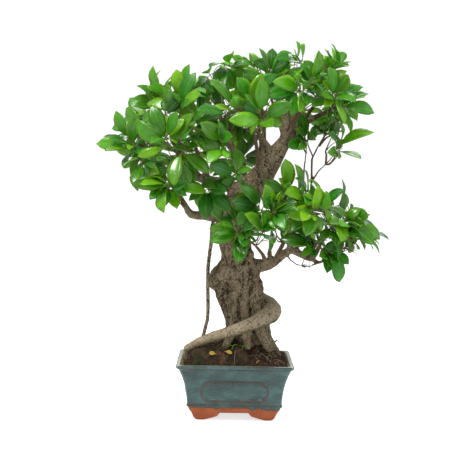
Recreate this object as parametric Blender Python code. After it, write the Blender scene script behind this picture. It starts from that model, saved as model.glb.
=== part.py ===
"""Fig bonsai in a glazed rectangular pot.

The tree is one woody solid with a free aerial root and many leafy sprays, and it stands in a soil
mound with moss cushions. Routes and shoots are written in millimetres for a tree of the reference
sizes below, and placed() moves them when an overall size changes. The front faces -Y, and the
origin ends up under the middle of the whole object, on the plane that the feet stand on.
"""

import itertools
import math
import random

import bmesh
import bpy
from mathutils import Matrix, Vector, noise
from mathutils.bvhtree import BVHTree

MM = 0.001
SEED = 11

# Overall sizes of the tree
TREE_HEIGHT = 0.650
CROWN_WIDTH = 0.500
TRUNK_GIRTH = 0.054  # width of the trunk at its waist

# The pot
POT_LENGTH = 0.200
POT_DEPTH = 0.150
POT_HEIGHT = 0.100
FOOT_HEIGHT = 0.025  # unglazed base, from the table to the glaze
RIM_HEIGHT = 0.007
RIM_OVERHANG = 0.004  # the lip's step out from the wall under it
RIM_EDGE = 0.0012  # rounding of the lip
WALL = 0.007
FLOOR = 0.006
CORNER_RADIUS = 0.007
BODY_LENGTH = 0.1612  # of the glazed wall at its foot
BODY_FLARE = 2.6  # how late the wall curves out towards the lip
BODY_SLOPE = 0.28  # part of the flare that is straight
FLANGE = 0.0016  # bead round the foot of the glaze
FLANGE_HEIGHT = 0.0045
BASE_WALL = 0.011
APRON_DROP = 0.011  # how far the base hangs between the feet
FOOT_LENGTH = 0.040  # along the front, from the corner to the start of the arch
FOOT_DEPTH = 0.030  # the same along the ends
DRAIN_RADIUS = 0.009
DRAIN_SPACING = 0.080
PANEL_LENGTH = 0.119
PANEL_HEIGHT = 0.037
PANEL_LINE = 0.004
PANEL_RAISE = 0.0016
PANEL_RISE = 0.010  # from the foot of the glaze to the panel's lower edge
PANEL_POINTS = 16

# Profile of the base under the glaze: mm inside the body's foot, and share of the base's height
BASE_PROFILE = ((13.5, 0.0), (10.5, 0.16), (7.5, 0.48), (2.0, 0.84), (1.5, 0.98))
# Arch between two feet: mm past the foot's end, and share of the arch's height
ARCH_PROFILE = ((12, -0.36), (10, 0.04), (0, 0.25), (-12, 0.55), (-16, 1.0))

# Screens over the drain holes
SCREEN_SIDE = 0.030
SCREEN_THICKNESS = 0.0012
SCREEN_HOLES = 3
SCREEN_STRAND = 0.0025

# Soil and moss
SOIL_BELOW_RIM = 0.008
SOIL_RISE = 0.052  # top of the mound above the soil's edge
SOIL_ROUGHNESS = 0.0016
MOUND_LENGTH = 0.144  # width and depth at which the mound has fallen to a third
MOUND_DEPTH = 0.114
MOUND_MIDDLE = (0.006, 0.010)
MOSS_THICKNESS = 0.0045

# Leaves and twigs
LEAF_LENGTH = 0.054
LEAF_WIDTH = 0.029
LEAF_KEEL = 0.0028
LEAF_ARCH = 0.07  # rise of the middle over the chord, as a share of the length
LEAVES_PER_SHOOT = 6
LEAF_STATIONS = ((0.38, 0.44), (0.70, 0.41))  # shares of the length and the width
LEAF_UP = 0.62  # how much a leaf faces up, out from the tree and to the front
LEAF_OUT = 0.50
LEAF_FRONT = 0.55
BUD_LENGTH = 0.004
STALK_RADIUS = 0.0020
TWIG_RADIUS = 0.0014
NODE_SPACING = 0.011  # between the leaf joints of a shoot

# How often the leaves of a spray have been drawn again
REDRAWN = {
    "centre_brow": 1, "left_end": 1, "low_crest": 1, "rear_left_7": 1, "rear_left_8": 1,
    "rear_left_9": 1, "rear_low_1": 2,
}

CLEARANCE = 0.0004  # between pieces that touch

# Sizes that the routes below are drawn for
DRAWN_HEIGHT = 0.650
DRAWN_WIDTH = 0.500
DRAWN_GIRTH = 0.054
DRAWN_POT_LENGTH = 0.200
DRAWN_POT_DEPTH = 0.150
DRAWN_POT_HEIGHT = 0.100
ROOT_TOP = 0.180  # below this the wood keeps to the pot, above CROWN_START to the crown
CROWN_START = 0.300

THIN_SIDES = 5  # a tube with no more sides than this isn't rounded between its points

# Wood routes: sides of the tube, then x, y, z and radius in mm
TRUNK = (12, (
    (26, 4, 100, 26), (20, 2, 135, 25), (17, 2, 170, 23), (16, 0, 205, 24), (14, -2, 240, 27),
    (7, 0, 268, 28), (0, 3, 290, 27), (-8, 5, 312, 26), (-13, 5, 335, 25), (-10, 3, 358, 24),
    (3, 0, 379, 24), (21, -2, 397, 24), (37, -3, 414, 22), (50, -4, 433, 19), (63, -5, 454, 16),
    (77, -5, 475, 13), (86, -4, 493, 10.5),
))
SPIRAL_ROOT = (10, (
    (-77, -22, 88, 5), (-82, -28, 105, 6.5), (-82, -37, 122, 7.5), (-62, -51, 137, 8),
    (-36, -59, 148, 9),
    (-12, -62, 156, 10), (8, -60, 162, 11), (28, -56, 169, 12.5), (46, -46, 176, 14),
    (60, -26, 181, 16), (65, -2, 185, 17), (58, 22, 191, 17), (38, 38, 199, 17), (8, 45, 209, 18),
    (-20, 36, 219, 17), (-37, 18, 229, 12), (-36, 4, 238, 12), (-22, -3, 247, 19),
    (-6, -2, 258, 24), (6, 0, 274, 25),
))
ROOTS = {
    "buttress": (7, ((-36, 12, 231, 9), (-22, 10, 214, 15), (-8, 6, 192, 18), (4, 4, 165, 18),
                     (10, 4, 135, 16))),
    "strand_left": (7, ((-7, -14, 268, 11), (-3, -18, 240, 10), (1, -19, 210, 9), (2, -18, 180, 9),
                        (-4, -22, 150, 9), (-16, -34, 128, 7), (-26, -44, 112, 4))),
    "strand_middle": (7, ((10, -22, 266, 10), (10, -25, 235, 9), (12, -25, 205, 8.5),
                          (14, -24, 175, 9), (18, -30, 145, 9), (22, -42, 122, 6))),
    "strand_right": (7, ((28, -14, 264, 11), (29, -19, 235, 9.5), (31, -20, 205, 9),
                         (36, -20, 175, 10), (46, -26, 142, 10), (62, -38, 118, 6))),
    "flare_right": (7, ((34, -2, 235, 13), (37, 0, 200, 12), (42, 2, 168, 13), (54, 2, 138, 12),
                        (70, 0, 116, 7), (80, -2, 104, 4))),
    "flare_back": (7, ((18, 16, 215, 12), (20, 20, 180, 13), (24, 30, 148, 12),
                       (30, 46, 120, 7), (34, 56, 104, 4))),
    "flare_left": (7, ((2, 8, 165, 16), (-12, 16, 138, 12), (-32, 28, 118, 8), (-50, 38, 104, 5))),
}
LIMBS = {
    "fan_right": (7, ((76, -5, 472, 11), (97, -8, 496, 8.5), (117, -12, 514, 6.5),
                      (142, -16, 527, 4.5), (166, -22, 538, 3))),
    "fan_up": (7, ((85, -4, 490, 9), (82, 4, 513, 7.5), (82, 9, 534, 6), (86, 11, 557, 4.2),
                   (94, 8, 580, 2.8))),
    "fan_left": (5, ((60, -4, 450, 10), (50, -14, 471, 6.5), (37, -22, 488, 5), (16, -36, 512, 4),
                     (-6, -52, 540, 2.8))),
    "fan_inner": (5, ((46, -2, 440, 9), (44, -10, 470, 5), (44, -14, 500, 4), (38, -22, 530, 3.2),
                      (34, -34, 560, 2.4))),
    "fan_middle": (5, ((80, -4, 484, 7), (72, 2, 510, 4.5), (60, 2, 538, 3.6),
                       (52, -4, 566, 2.6))),
    "fan_front": (5, ((74, -6, 470, 8), (90, -34, 500, 4.8), (98, -58, 524, 3.6),
                      (100, -78, 544, 2.6))),
    "fan_far_right": (5, ((97, -8, 496, 6), (118, 6, 524, 4.6), (136, 12, 550, 3.6),
                          (150, 8, 578, 2.6))),
    "crown_front": (5, ((36, -6, 415, 9), (34, -40, 446, 5.5), (28, -72, 474, 4),
                        (22, -96, 500, 2.8))),
    "crown_rear": (5, ((36, 2, 415, 10), (42, 38, 444, 6.5), (42, 72, 478, 5),
                       (38, 102, 510, 3.4), (34, 118, 530, 2.5))),
    "crown_rear_right": (5, ((78, -4, 476, 9), (90, 34, 502, 5.5), (98, 66, 526, 4),
                             (104, 92, 548, 2.6))),
    "crown_middle": (7, ((14, -2, 392, 13), (4, 8, 430, 9), (-10, 12, 465, 7), (-25, 14, 500, 5.2),
                         (-36, 14, 535, 4), (-44, 8, 566, 2.8))),
    "crown_middle_front": (5, ((-8, 12, 460, 6), (-30, -20, 486, 4.4), (-48, -52, 512, 3.4),
                               (-58, -78, 536, 2.5))),
    "crown_middle_rear": (5, ((-5, 12, 452, 7), (-16, 50, 480, 5), (-24, 84, 508, 3.8),
                              (-26, 112, 532, 2.6))),
    "left_middle": (7, ((2, 0, 392, 14), (-24, 2, 405, 10.5), (-54, 0, 411, 9),
                        (-92, -4, 424, 7.2), (-127, -10, 444, 5.4), (-152, -16, 460, 4),
                        (-172, -20, 470, 2.8))),
    "left_middle_up": (5, ((-50, 0, 410, 7), (-64, -22, 440, 5.2), (-76, -42, 474, 4.2),
                           (-86, -52, 508, 3.2), (-92, -54, 536, 2.4))),
    "left_middle_crest": (5, ((-88, -4, 422, 6), (-106, 12, 456, 4.6), (-118, 18, 490, 3.8),
                              (-126, 14, 520, 2.8))),
    "left_middle_rear": (5, ((-66, 0, 414, 7), (-84, 36, 438, 5), (-100, 72, 462, 3.8),
                             (-110, 98, 484, 2.6))),
    "left_middle_front": (5, ((-74, -2, 417, 6.5), (-84, -42, 434, 4.8), (-94, -76, 450, 3.8),
                              (-98, -100, 468, 2.6))),
    "left_middle_hang": (5, ((-34, 0, 407, 6), (-46, -34, 410, 4.2), (-50, -60, 408, 2.8))),
    "left_low": (7, ((-8, 4, 338, 15), (-30, 0, 346, 11), (-56, -3, 349, 9), (-80, -5, 351, 7.8),
                     (-90, -8, 366, 5.6), (-98, -16, 380, 4.2), (-104, -34, 390, 3),
                     (-108, -52, 396, 2.4))),
    "left_low_twig": (5, ((-74, -5, 350, 4), (-92, -12, 362, 2.4), (-108, -28, 382, 2.2),
                          (-120, -48, 400, 2))),
    "left_low_rear": (5, ((-84, -6, 358, 5), (-98, 24, 378, 4), (-116, 52, 398, 3),
                          (-126, 66, 410, 2.2))),
    "right_low": (7, ((10, -6, 258, 15), (34, -8, 263, 13.5), (58, -12, 267, 10),
                      (72, -16, 277, 8.5), (92, -20, 293, 7.6), (110, -20, 286, 6.6),
                      (129, -20, 278, 6), (140, -22, 296, 4.6), (147, -28, 316, 3.4),
                      (152, -36, 334, 2.4))),
    "right_low_up": (7, ((90, -20, 288, 6.5), (91, -24, 316, 5.4), (88, -32, 334, 4.8),
                         (78, -46, 350, 3.8), (64, -66, 362, 2.8))),
    "right_low_crest": (5, ((90, -25, 318, 5), (103, -32, 338, 4), (112, -44, 352, 2.8))),
    "right_low_hook": (5, ((88, -30, 326, 4), (82, -18, 346, 3.4), (80, -12, 366, 2.6))),
    "right_low_end": (5, ((124, -20, 280, 5), (142, -20, 272, 3.8), (158, -20, 278, 3.5),
                          (176, -20, 292, 3), (194, -20, 304, 2.6), (206, -20, 312, 2.2))),
    "right_low_bow": (5, ((84, -20, 290, 3), (92, -23, 276, 2.2), (104, -24, 268, 2),
                          (124, -24, 265, 2), (144, -20, 272, 2.4))),
    "right_low_rear": (5, ((66, -14, 272, 7), (78, 20, 292, 5), (92, 50, 314, 4),
                           (104, 72, 334, 2.8))),
    "right_low_rear_end": (5, ((124, -18, 280, 5), (138, 6, 300, 4), (154, 28, 320, 3),
                               (164, 38, 332, 2.2))),
    "right_low_front": (5, ((52, -12, 267, 6), (44, -40, 286, 4.2), (30, -70, 304, 3.2),
                            (14, -92, 316, 2.4))),
    "stub_near": (5, ((58, -12, 270, 6), (57, -16, 292, 4.4))),
    "stub_far": (5, ((98, -20, 290, 4.5), (105, -22, 299, 3.2))),
    "stub_trunk": (5, ((24, -20, 262, 8), (24, -34, 290, 4.5))),
    "lacy_inner": (5, ((92, -24, 310, 4), (106, -14, 345, 3.2), (113, -10, 390, 2.8),
                       (114, -8, 432, 2.4), (117, -8, 462, 2))),
    "lacy_middle": (5, ((126, -20, 284, 4), (124, -18, 330, 3.4), (126, -14, 380, 3),
                        (127, -12, 420, 2.8), (127, -10, 450, 2.6), (138, -14, 474, 2.2))),
    "lacy_outer": (5, ((126, -13, 408, 2.6), (138, -20, 430, 2.2), (150, -28, 442, 2))),
}
AERIAL_ROOT = (6, (
    (-40, -6, 352, 4.4), (-43, -12, 332, 3.9), (-44, -14, 306, 3.6), (-49, -15, 262, 3.5),
    (-49, -15, 226, 3.6), (-48, -14, 190, 3.6), (-49, -13, 168, 3.5), (-56, -12, 140, 3.4),
    (-62, -10, 112, 3),
))

# Front sprays: each shoot is its tip, then the leaf tips that are set by hand. All in mm.
FRONT_SPRAYS = {
    "left_end": (
        ((-180, -40, 465), ((-245, -45, 470), (-220, -75, 462), (-155, -80, 450))),
        ((-190, -10, 482), ((-232, -25, 482), (-165, -50, 492))),
        ((-150, -70, 430), ((-165, -110, 395), (-188, -95, 432))),
    ),
    "left_shoulder": (
        ((-160, 0, 500), ((-210, -10, 505), (-180, -20, 535), (-155, -15, 545))),
        ((-120, -30, 550), ((-150, -35, 600), (-150, -70, 568))),
    ),
    "left_face": (
        ((-115, -125, 480), ((-180, -130, 515), (-70, -130, 524), (-138, -160, 470))),
        ((-110, -100, 425), ((-130, -138, 442), (-98, -138, 432))),
    ),
    "left_brow": (
        ((-130, -90, 510), ((-117, -95, 565), (-103, -95, 558), (-156, -105, 550))),
        ((-95, -95, 530), ((-75, -98, 585), (-112, -130, 555))),
        ((-85, -50, 560), ((-105, -75, 592), (-56, -85, 556))),
    ),
    "left_low_front": (
        ((-112, -110, 400), ((-170, -112, 405), (-52, -112, 394), (-122, -140, 362))),
        ((-118, -60, 396), ((-145, -92, 378), (-156, -88, 396), (-100, -92, 364))),
    ),
    "left_heart": (
        ((-90, -130, 440), ((-54, -148, 470), (-114, -165, 452), (-102, -160, 402))),
        ((-65, -138, 490), ((-90, -172, 496), (-84, -176, 474))),
    ),
    "left_inner": (
        ((-70, -70, 415), ((-60, -75, 362), (-38, -104, 400))),
        ((-45, -75, 392), ((-12, -100, 362), (-20, -112, 395))),
    ),
    "middle_face": (
        ((-30, -130, 475), ((-50, -160, 440), (-12, -168, 480), (-62, -162, 500))),
        ((-10, -95, 422), ((-46, -130, 436), (5, -132, 415))),
    ),
    "middle_crest": (
        ((-10, -50, 600), ((-30, -82, 560), (-50, -80, 598), (-15, -88, 622))),
        ((-65, -10, 570), ((-56, -45, 596), (-45, -46, 560))),
    ),
    "middle_top": (
        ((0, -10, 596), ((15, -45, 622), (-20, -45, 612))),
        ((30, 20, 604), ((20, -4, 628), (6, -2, 616))),
    ),
    "centre_brow": (
        ((-30, -120, 512), ((-50, -122, 578), (-6, -155, 540), (-66, -158, 522))),
        ((15, -110, 545), ((35, -138, 580), (-5, -148, 572), (-20, -146, 530))),
    ),
    "centre_top": (
        ((50, -55, 584), ((35, -82, 628), (-10, -58, 594))),
        ((55, 0, 604), ((56, -25, 636), (30, -24, 612))),
    ),
    "centre_face": (
        ((30, -130, 520), ((-15, -156, 506), (80, -148, 534), (50, -168, 495))),
    ),
    "right_brow": (
        ((90, -115, 554), ((55, -148, 568), (40, -138, 544), (86, -152, 576))),
        ((115, -100, 574), ((130, -136, 556), (100, -138, 572))),
    ),
    "right_top": (
        ((80, -10, 604), ((96, -40, 646), (66, -46, 616))),
        ((100, -70, 600), ((97, -106, 630), (120, -106, 606), (76, -106, 604))),
    ),
    "right_crest": (
        ((140, -30, 596), ((126, -66, 620), (150, -66, 616))),
        ((164, 0, 608), ((190, -20, 616), (186, -25, 604))),
    ),
    "right_end": (
        ((155, -75, 550), ((145, -98, 596), (170, -102, 588), (130, -112, 552))),
        ((170, -30, 556), ((206, -52, 570), (196, -66, 554))),
        ((125, -20, 556), ((136, -56, 542), (110, -56, 542))),
    ),
    "right_tail": (
        ((170, -50, 540), ((226, -54, 530), (192, -86, 518))),
        ((155, -20, 522), ((182, -54, 530), (162, -56, 496))),
    ),
    "lacy_outer": (
        ((165, -45, 470), ((170, -80, 506), (234, -52, 506), (202, -74, 450))),
    ),
    "lacy_middle": (
        ((150, -16, 494), ((125, -50, 502), (176, -50, 496))),
    ),
    "lacy_inner": (
        ((115, -20, 482), ((96, -56, 484), (120, -56, 496))),
    ),
    "low_left": (
        ((5, -120, 326), ((-45, -134, 315), (-25, -156, 344), (10, -152, 296))),
        ((-5, -80, 345), ((-46, -100, 332), (20, -116, 368))),
    ),
    "low_left_inner": (
        ((40, -108, 330), ((15, -146, 326), (56, -146, 334), (56, -144, 314))),
    ),
    "low_face": (
        ((30, -110, 370), ((5, -136, 404), (-10, -134, 376))),
        ((56, -128, 360), ((40, -164, 385), (70, -166, 340))),
    ),
    "low_crest": (
        ((80, -85, 394), ((76, -90, 448), (40, -108, 424), (96, -108, 438))),
        ((110, -95, 390), ((106, -120, 430), (116, -130, 414))),
    ),
    "low_middle": (
        ((115, -112, 360), ((126, -140, 404), (76, -148, 364), (92, -146, 350))),
        ((105, -60, 345), ((120, -96, 330), (86, -96, 332))),
    ),
    "low_right": (
        ((140, -70, 374), ((172, -92, 400), (188, -72, 352))),
        ((160, -75, 330), ((160, -110, 310), (136, -110, 344))),
    ),
    "low_right_face": (
        ((175, -75, 346), ((176, -108, 376), (150, -110, 346))),
        ((200, -50, 340), ((212, -84, 366), (210, -86, 346))),
    ),
    "low_end": (
        ((214, -26, 322), ((256, -52, 320), (240, -60, 310))),
        ((185, -45, 316), ((200, -80, 302), (196, -80, 318))),
    ),
    "low_under": (
        ((165, -45, 292), ((156, -78, 270),)),
        ((150, -60, 296), ((136, -96, 290), (156, -98, 306))),
        ((125, -64, 306), ((110, -100, 306), (136, -100, 316))),
    ),
}

# Rear foliage pads: middle and half sizes in mm, then the sprays as the bearings (0 is +X, 90 is
# the back) and heights of their shoots over the pad's middle, both in degrees
REAR_PADS = {
    "rear_left": ((-78, 14, 488), (104, 122, 92), (
        ((28,), (14, 52)), ((60,), (14, 52)), ((90,), (14, 52)), ((118,), (14, 52)),
        ((146,), (14, 52)), ((176,), (14, 52)),
        ((28, 60), (-22,)), ((90, 118), (-22,)), ((146, 176), (-22,)),
    )),
    "rear_right": ((92, 20, 530), (92, 104, 72), (
        ((4,), (4, 46)), ((40,), (4, 46)), ((76,), (4, 46)), ((112,), (4, 46)),
        ((148,), (4, 46)),
    )),
    "rear_low": ((118, 6, 330), (84, 92, 44), (
        ((6,), (4, 50)), ((48,), (4, 50)), ((90,), (4, 50)), ((132,), (4, 50)),
    )),
}


def clear_scene():
    for obj in list(bpy.data.objects):
        bpy.data.objects.remove(obj)


def material(name, colour, roughness, metallic=0.0):
    made = bpy.data.materials.new(name)
    made.use_nodes = True
    shader = made.node_tree.nodes["Principled BSDF"]
    shader.inputs["Base Color"].default_value = (*colour, 1.0)
    shader.inputs["Roughness"].default_value = roughness
    shader.inputs["Metallic"].default_value = metallic
    return made


def add_object(name, bm, made, smooth=True):
    """Turns the closed bmesh into a named object. Bent quads are split the same way each time."""
    bmesh.ops.triangulate(bm, faces=bm.faces[:], quad_method="FIXED")
    bmesh.ops.recalc_face_normals(bm, faces=bm.faces[:])
    mesh = bpy.data.meshes.new(name)
    bm.to_mesh(mesh)
    bm.free()
    if smooth:
        mesh.shade_smooth()
        mesh.set_sharp_from_angle(angle=math.radians(35))
    obj = bpy.data.objects.new(name, mesh)
    bpy.context.scene.collection.objects.link(obj)
    if made:
        mesh.materials.append(made)
    return obj


def combine(obj, operation, others):
    """Joins the other objects to this one, or cuts them from it, and removes them."""
    collection = bpy.data.collections.new(obj.name + "_operands")
    bpy.context.scene.collection.children.link(collection)
    for other in others:
        collection.objects.link(other)
        bpy.context.scene.collection.objects.unlink(other)
    modifier = obj.modifiers.new(operation.lower(), "BOOLEAN")
    modifier.operation = operation
    modifier.operand_type = "COLLECTION"
    modifier.collection = collection
    modifier.solver = "EXACT"
    bpy.context.view_layer.update()
    graph = bpy.context.evaluated_depsgraph_get()
    result = bpy.data.meshes.new_from_object(obj.evaluated_get(graph))
    obj.modifiers.remove(modifier)
    obj.data = result
    for other in others:
        bpy.data.objects.remove(other)
    bpy.data.collections.remove(collection)


def keep_largest(obj):
    """Leaves only the largest connected body of the mesh."""
    bm = bmesh.new()
    bm.from_mesh(obj.data)
    left = set(bm.verts)
    bodies = []
    while left:
        body = set()
        edge = [left.pop()]
        while edge:
            vert = edge.pop()
            body.add(vert)
            for link in vert.link_edges:
                other = link.other_vert(vert)
                if other in left:
                    left.discard(other)
                    edge.append(other)
        bodies.append(body)
    bodies.sort(key=len)
    loose = [vert for body in bodies[:-1] for vert in body]
    bmesh.ops.delete(bm, geom=loose, context="VERTS")
    bm.to_mesh(obj.data)
    bm.free()


# ---------------------------------------------------------------- shared shapes


def blend(low, high, share):
    share = min(max(share, 0.0), 1.0)
    return low + (high - low) * share * share * (3 - 2 * share)


def placed(point):
    """A drawn point in mm as a place in metres, moved with the overall sizes."""
    x, y, z = (value * MM for value in point[:3])
    soil = DRAWN_POT_HEIGHT
    share = (z - ROOT_TOP) / (CROWN_START - ROOT_TOP)
    spread = CROWN_WIDTH / DRAWN_WIDTH
    x *= blend(POT_LENGTH / DRAWN_POT_LENGTH, spread, share)
    y *= blend(POT_DEPTH / DRAWN_POT_DEPTH, spread, share)
    if z > soil:
        z = POT_HEIGHT + (z - soil) * (TREE_HEIGHT - POT_HEIGHT) / (DRAWN_HEIGHT - soil)
    else:
        z = z * POT_HEIGHT / soil
    return Vector((x, y, z))


def smooth_route(points, steps):
    """Catmull-Rom through (place, radius) pairs, with that many steps from one to the next."""
    ends = [points[0], *points, points[-1]]
    route = []
    for i in range(1, len(ends) - 2):
        for k in range(steps):
            t = k / steps
            weights = (
                (-t + 2 * t * t - t**3) / 2,
                (2 - 5 * t * t + 3 * t**3) / 2,
                (t + 4 * t * t - 3 * t**3) / 2,
                (-t * t + t**3) / 2,
            )
            near = ends[i - 1 : i + 3]
            place = sum((w * p for w, (p, _) in zip(weights, near)), Vector())
            radius = sum(w * r for w, (_, r) in zip(weights, near))
            route.append((place, radius))
    route.append(points[-1])
    return route


def rings_along(route, sides, flute=0.0, grow=0.0):
    """One ring of points for each (place, radius) of a route, turning as little as it can."""
    rings = []
    side = None
    for i, (place, radius) in enumerate(route):
        ahead = route[min(i + 1, len(route) - 1)][0]
        behind = route[max(i - 1, 0)][0]
        axis = (ahead - behind).normalized()
        if side is None:
            side = axis.orthogonal().normalized()
        side = (side - axis * side.dot(axis)).normalized()
        across = axis.cross(side)
        if grow and i in (0, len(route) - 1):
            place = place + axis * (grow if i else -grow)
        ring = []
        for k in range(sides):
            turn = 2 * math.pi * k / sides
            wave = math.sin(3 * turn + 0.45 * i) + 0.6 * math.sin(5 * turn - 0.7 * i)
            reach = radius * (1 + flute * wave) + grow
            ring.append(place + side * (reach * math.cos(turn)) + across * (reach * math.sin(turn)))
        rings.append(ring)
    return rings


def start_tube(bm, lower, upper):
    """A closed prism from one ring to the next. Gives its end face and its side faces."""
    sides = len(lower)
    made = bmesh.ops.create_cone(
        bm, cap_ends=True, segments=sides, radius1=1, radius2=1, depth=2, matrix=Matrix()
    )["verts"]
    top = []
    for vert in made:
        turn = math.atan2(vert.co.y, vert.co.x) / (2 * math.pi / sides)
        index = round(turn) % sides
        if vert.co.z > 0:
            top.append(vert)
            vert.co = upper[index]
        else:
            vert.co = lower[index]
    cap = next(f for f in top[0].link_faces if all(v in top for v in f.verts))
    return cap, side_faces(cap)


def side_faces(cap):
    return [face for edge in cap.edges for face in edge.link_faces if face is not cap]


def line_up(points, ring):
    """The ring's points in turn, from the one that follows the first point without a twist."""
    count = len(points)

    def stretch(shift):
        return sum((points[k] - ring[(k + shift) % count]).length for k in range(count))

    shift = min(range(count), key=stretch)
    return ring[shift:] + ring[:shift]


def extend(bm, cap, ring):
    """Extrudes an end face to the next ring."""
    cap = bmesh.ops.extrude_discrete_faces(bm, faces=[cap])["faces"][0]
    verts = [loop.vert for loop in cap.loops]
    for vert, place in zip(verts, line_up([vert.co.copy() for vert in verts], ring)):
        vert.co = place
    return cap, side_faces(cap)


def tube(bm, rings):
    cap, _ = start_tube(bm, rings[0], rings[1])
    for ring in rings[2:]:
        cap, _ = extend(bm, cap, ring)


def rounded_ring(half_x, half_y, radius, z, per_corner=4):
    """A rounded rectangle, anticlockwise from above."""
    radius = min(radius, half_x, half_y)
    ring = []
    for corner, (sx, sy) in enumerate(((1, 1), (-1, 1), (-1, -1), (1, -1))):
        for k in range(per_corner):
            turn = math.pi / 2 * (corner + k / (per_corner - 1))
            x = sx * (half_x - radius) + radius * math.cos(turn)
            y = sy * (half_y - radius) + radius * math.sin(turn)
            ring.append(Vector((x, y, z)))
    return ring


def prism(name, outline, thickness, turned=False):
    """A cutter of an outline in x and z, run through the pot along Y, or along X if turned."""
    bm = bmesh.new()
    near = [Vector((x, -thickness, z)) for x, z in outline]
    face = bm.faces.new([bm.verts.new(point) for point in near])
    away = bmesh.ops.extrude_face_region(bm, geom=[face])["geom"]
    verts = [item for item in away if isinstance(item, bmesh.types.BMVert)]
    bmesh.ops.translate(bm, verts=verts, vec=(0, 2 * thickness, 0))
    if turned:
        bmesh.ops.rotate(bm, verts=bm.verts[:], matrix=Matrix.Rotation(math.pi / 2, 3, "Z"))
    return add_object(name, bm, None, smooth=False)


# ---------------------------------------------------------------- pot


def pot_half_length(z):
    """The glazed wall's half length, which flares in a hollow curve from its foot to the rim."""
    rise = (z - FOOT_HEIGHT) / (POT_HEIGHT - RIM_HEIGHT - FOOT_HEIGHT)
    rise = min(max(rise, 0.0), 1.0)
    foot = BODY_LENGTH / 2
    neck = POT_LENGTH / 2 - RIM_OVERHANG
    return foot + (neck - foot) * (BODY_SLOPE * rise + (1 - BODY_SLOPE) * rise**BODY_FLARE)


def half_depth(half_length):
    return half_length - (POT_LENGTH - POT_DEPTH) / 2


def pot_ring(half_length, z, radius=CORNER_RADIUS):
    return rounded_ring(half_length, half_depth(half_length), radius, z)


def pot_levels():
    """Half length and height of each outer ring, from the feet up to the rim."""
    foot = BODY_LENGTH / 2
    levels = [(foot - inside * MM, share * FOOT_HEIGHT) for inside, share in BASE_PROFILE]
    levels.append((foot + FLANGE * 0.75, FOOT_HEIGHT))
    levels.append((foot + FLANGE, FOOT_HEIGHT + FLANGE_HEIGHT / 2))
    levels.append((pot_half_length(FOOT_HEIGHT + FLANGE_HEIGHT), FOOT_HEIGHT + FLANGE_HEIGHT))
    neck = POT_HEIGHT - RIM_HEIGHT
    start = FOOT_HEIGHT + 2.5 * FLANGE_HEIGHT
    for k in range(6):
        z = start + (neck - start) * k / 5
        levels.append((pot_half_length(z), z))
    rim = POT_LENGTH / 2
    levels.append((rim - RIM_EDGE, neck + RIM_EDGE / 2))
    levels.append((rim, POT_HEIGHT - RIM_EDGE))
    levels.append((rim - RIM_EDGE, POT_HEIGHT))
    return levels


def cavity_half_length(z):
    """The inner wall's half length. It follows the outer wall at the wall's thickness."""
    rise = (z - FOOT_HEIGHT) / (POT_HEIGHT - FOOT_HEIGHT)
    foot = pot_half_length(FOOT_HEIGHT) - WALL
    return foot + (POT_LENGTH / 2 - WALL - foot) * min(max(rise, 0.0), 1.0) ** 1.6


def cavity_floor():
    return FOOT_HEIGHT + FLOOR


def cavity_rings(inset, top):
    """Rings from the cavity's floor up to a height, drawn in from the wall by an inset."""
    rings = []
    start = cavity_floor()
    for k in range(5):
        z = start + (top - start) * k / 4
        radius = max(CORNER_RADIUS - WALL / 2, 0.003)
        rings.append(pot_ring(cavity_half_length(z) - inset, z, radius))
    return rings


def panel_ring(scale_in, lift, front):
    """The stadium outline of the raised panel, laid on the curved wall."""
    half_height = PANEL_HEIGHT / 2 - scale_in
    straight = (PANEL_LENGTH - PANEL_HEIGHT) / 2
    middle = FOOT_HEIGHT + PANEL_RISE + PANEL_HEIGHT / 2
    if not front:
        straight = max(straight - (POT_LENGTH - POT_DEPTH) / 2, 0.002)
    points = []
    for k in range(PANEL_POINTS):
        turn = 2 * math.pi * (k + 0.5) / PANEL_POINTS
        x = math.copysign(straight, math.cos(turn)) + half_height * math.cos(turn)
        z = middle + half_height * math.sin(turn)
        out = half_depth(pot_half_length(z)) if front else pot_half_length(z)
        points.append(Vector((x, -(out + lift), z)))
    return points


def panel(name, front, angle):
    """A raised line round a long oval panel, as an object to join to the wall."""
    bm = bmesh.new()
    loops = [
        panel_ring(0, -0.003, front),
        panel_ring(PANEL_LINE * 0.3, PANEL_RAISE, front),
        panel_ring(PANEL_LINE * 0.7, PANEL_RAISE, front),
        panel_ring(PANEL_LINE, -0.003, front),
    ]
    rows = [[bm.verts.new(point) for point in loop] for loop in loops]
    edges = []
    for row in rows:
        edges.append([bm.edges.new((row[k - 1], row[k])) for k in range(len(row))])
    for first, second in zip(edges, edges[1:] + edges[:1]):
        bmesh.ops.bridge_loops(bm, edges=first + second)
    bmesh.ops.rotate(bm, verts=bm.verts[:], matrix=Matrix.Rotation(angle, 3, "Z"))
    return add_object(name, bm, None)


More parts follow.
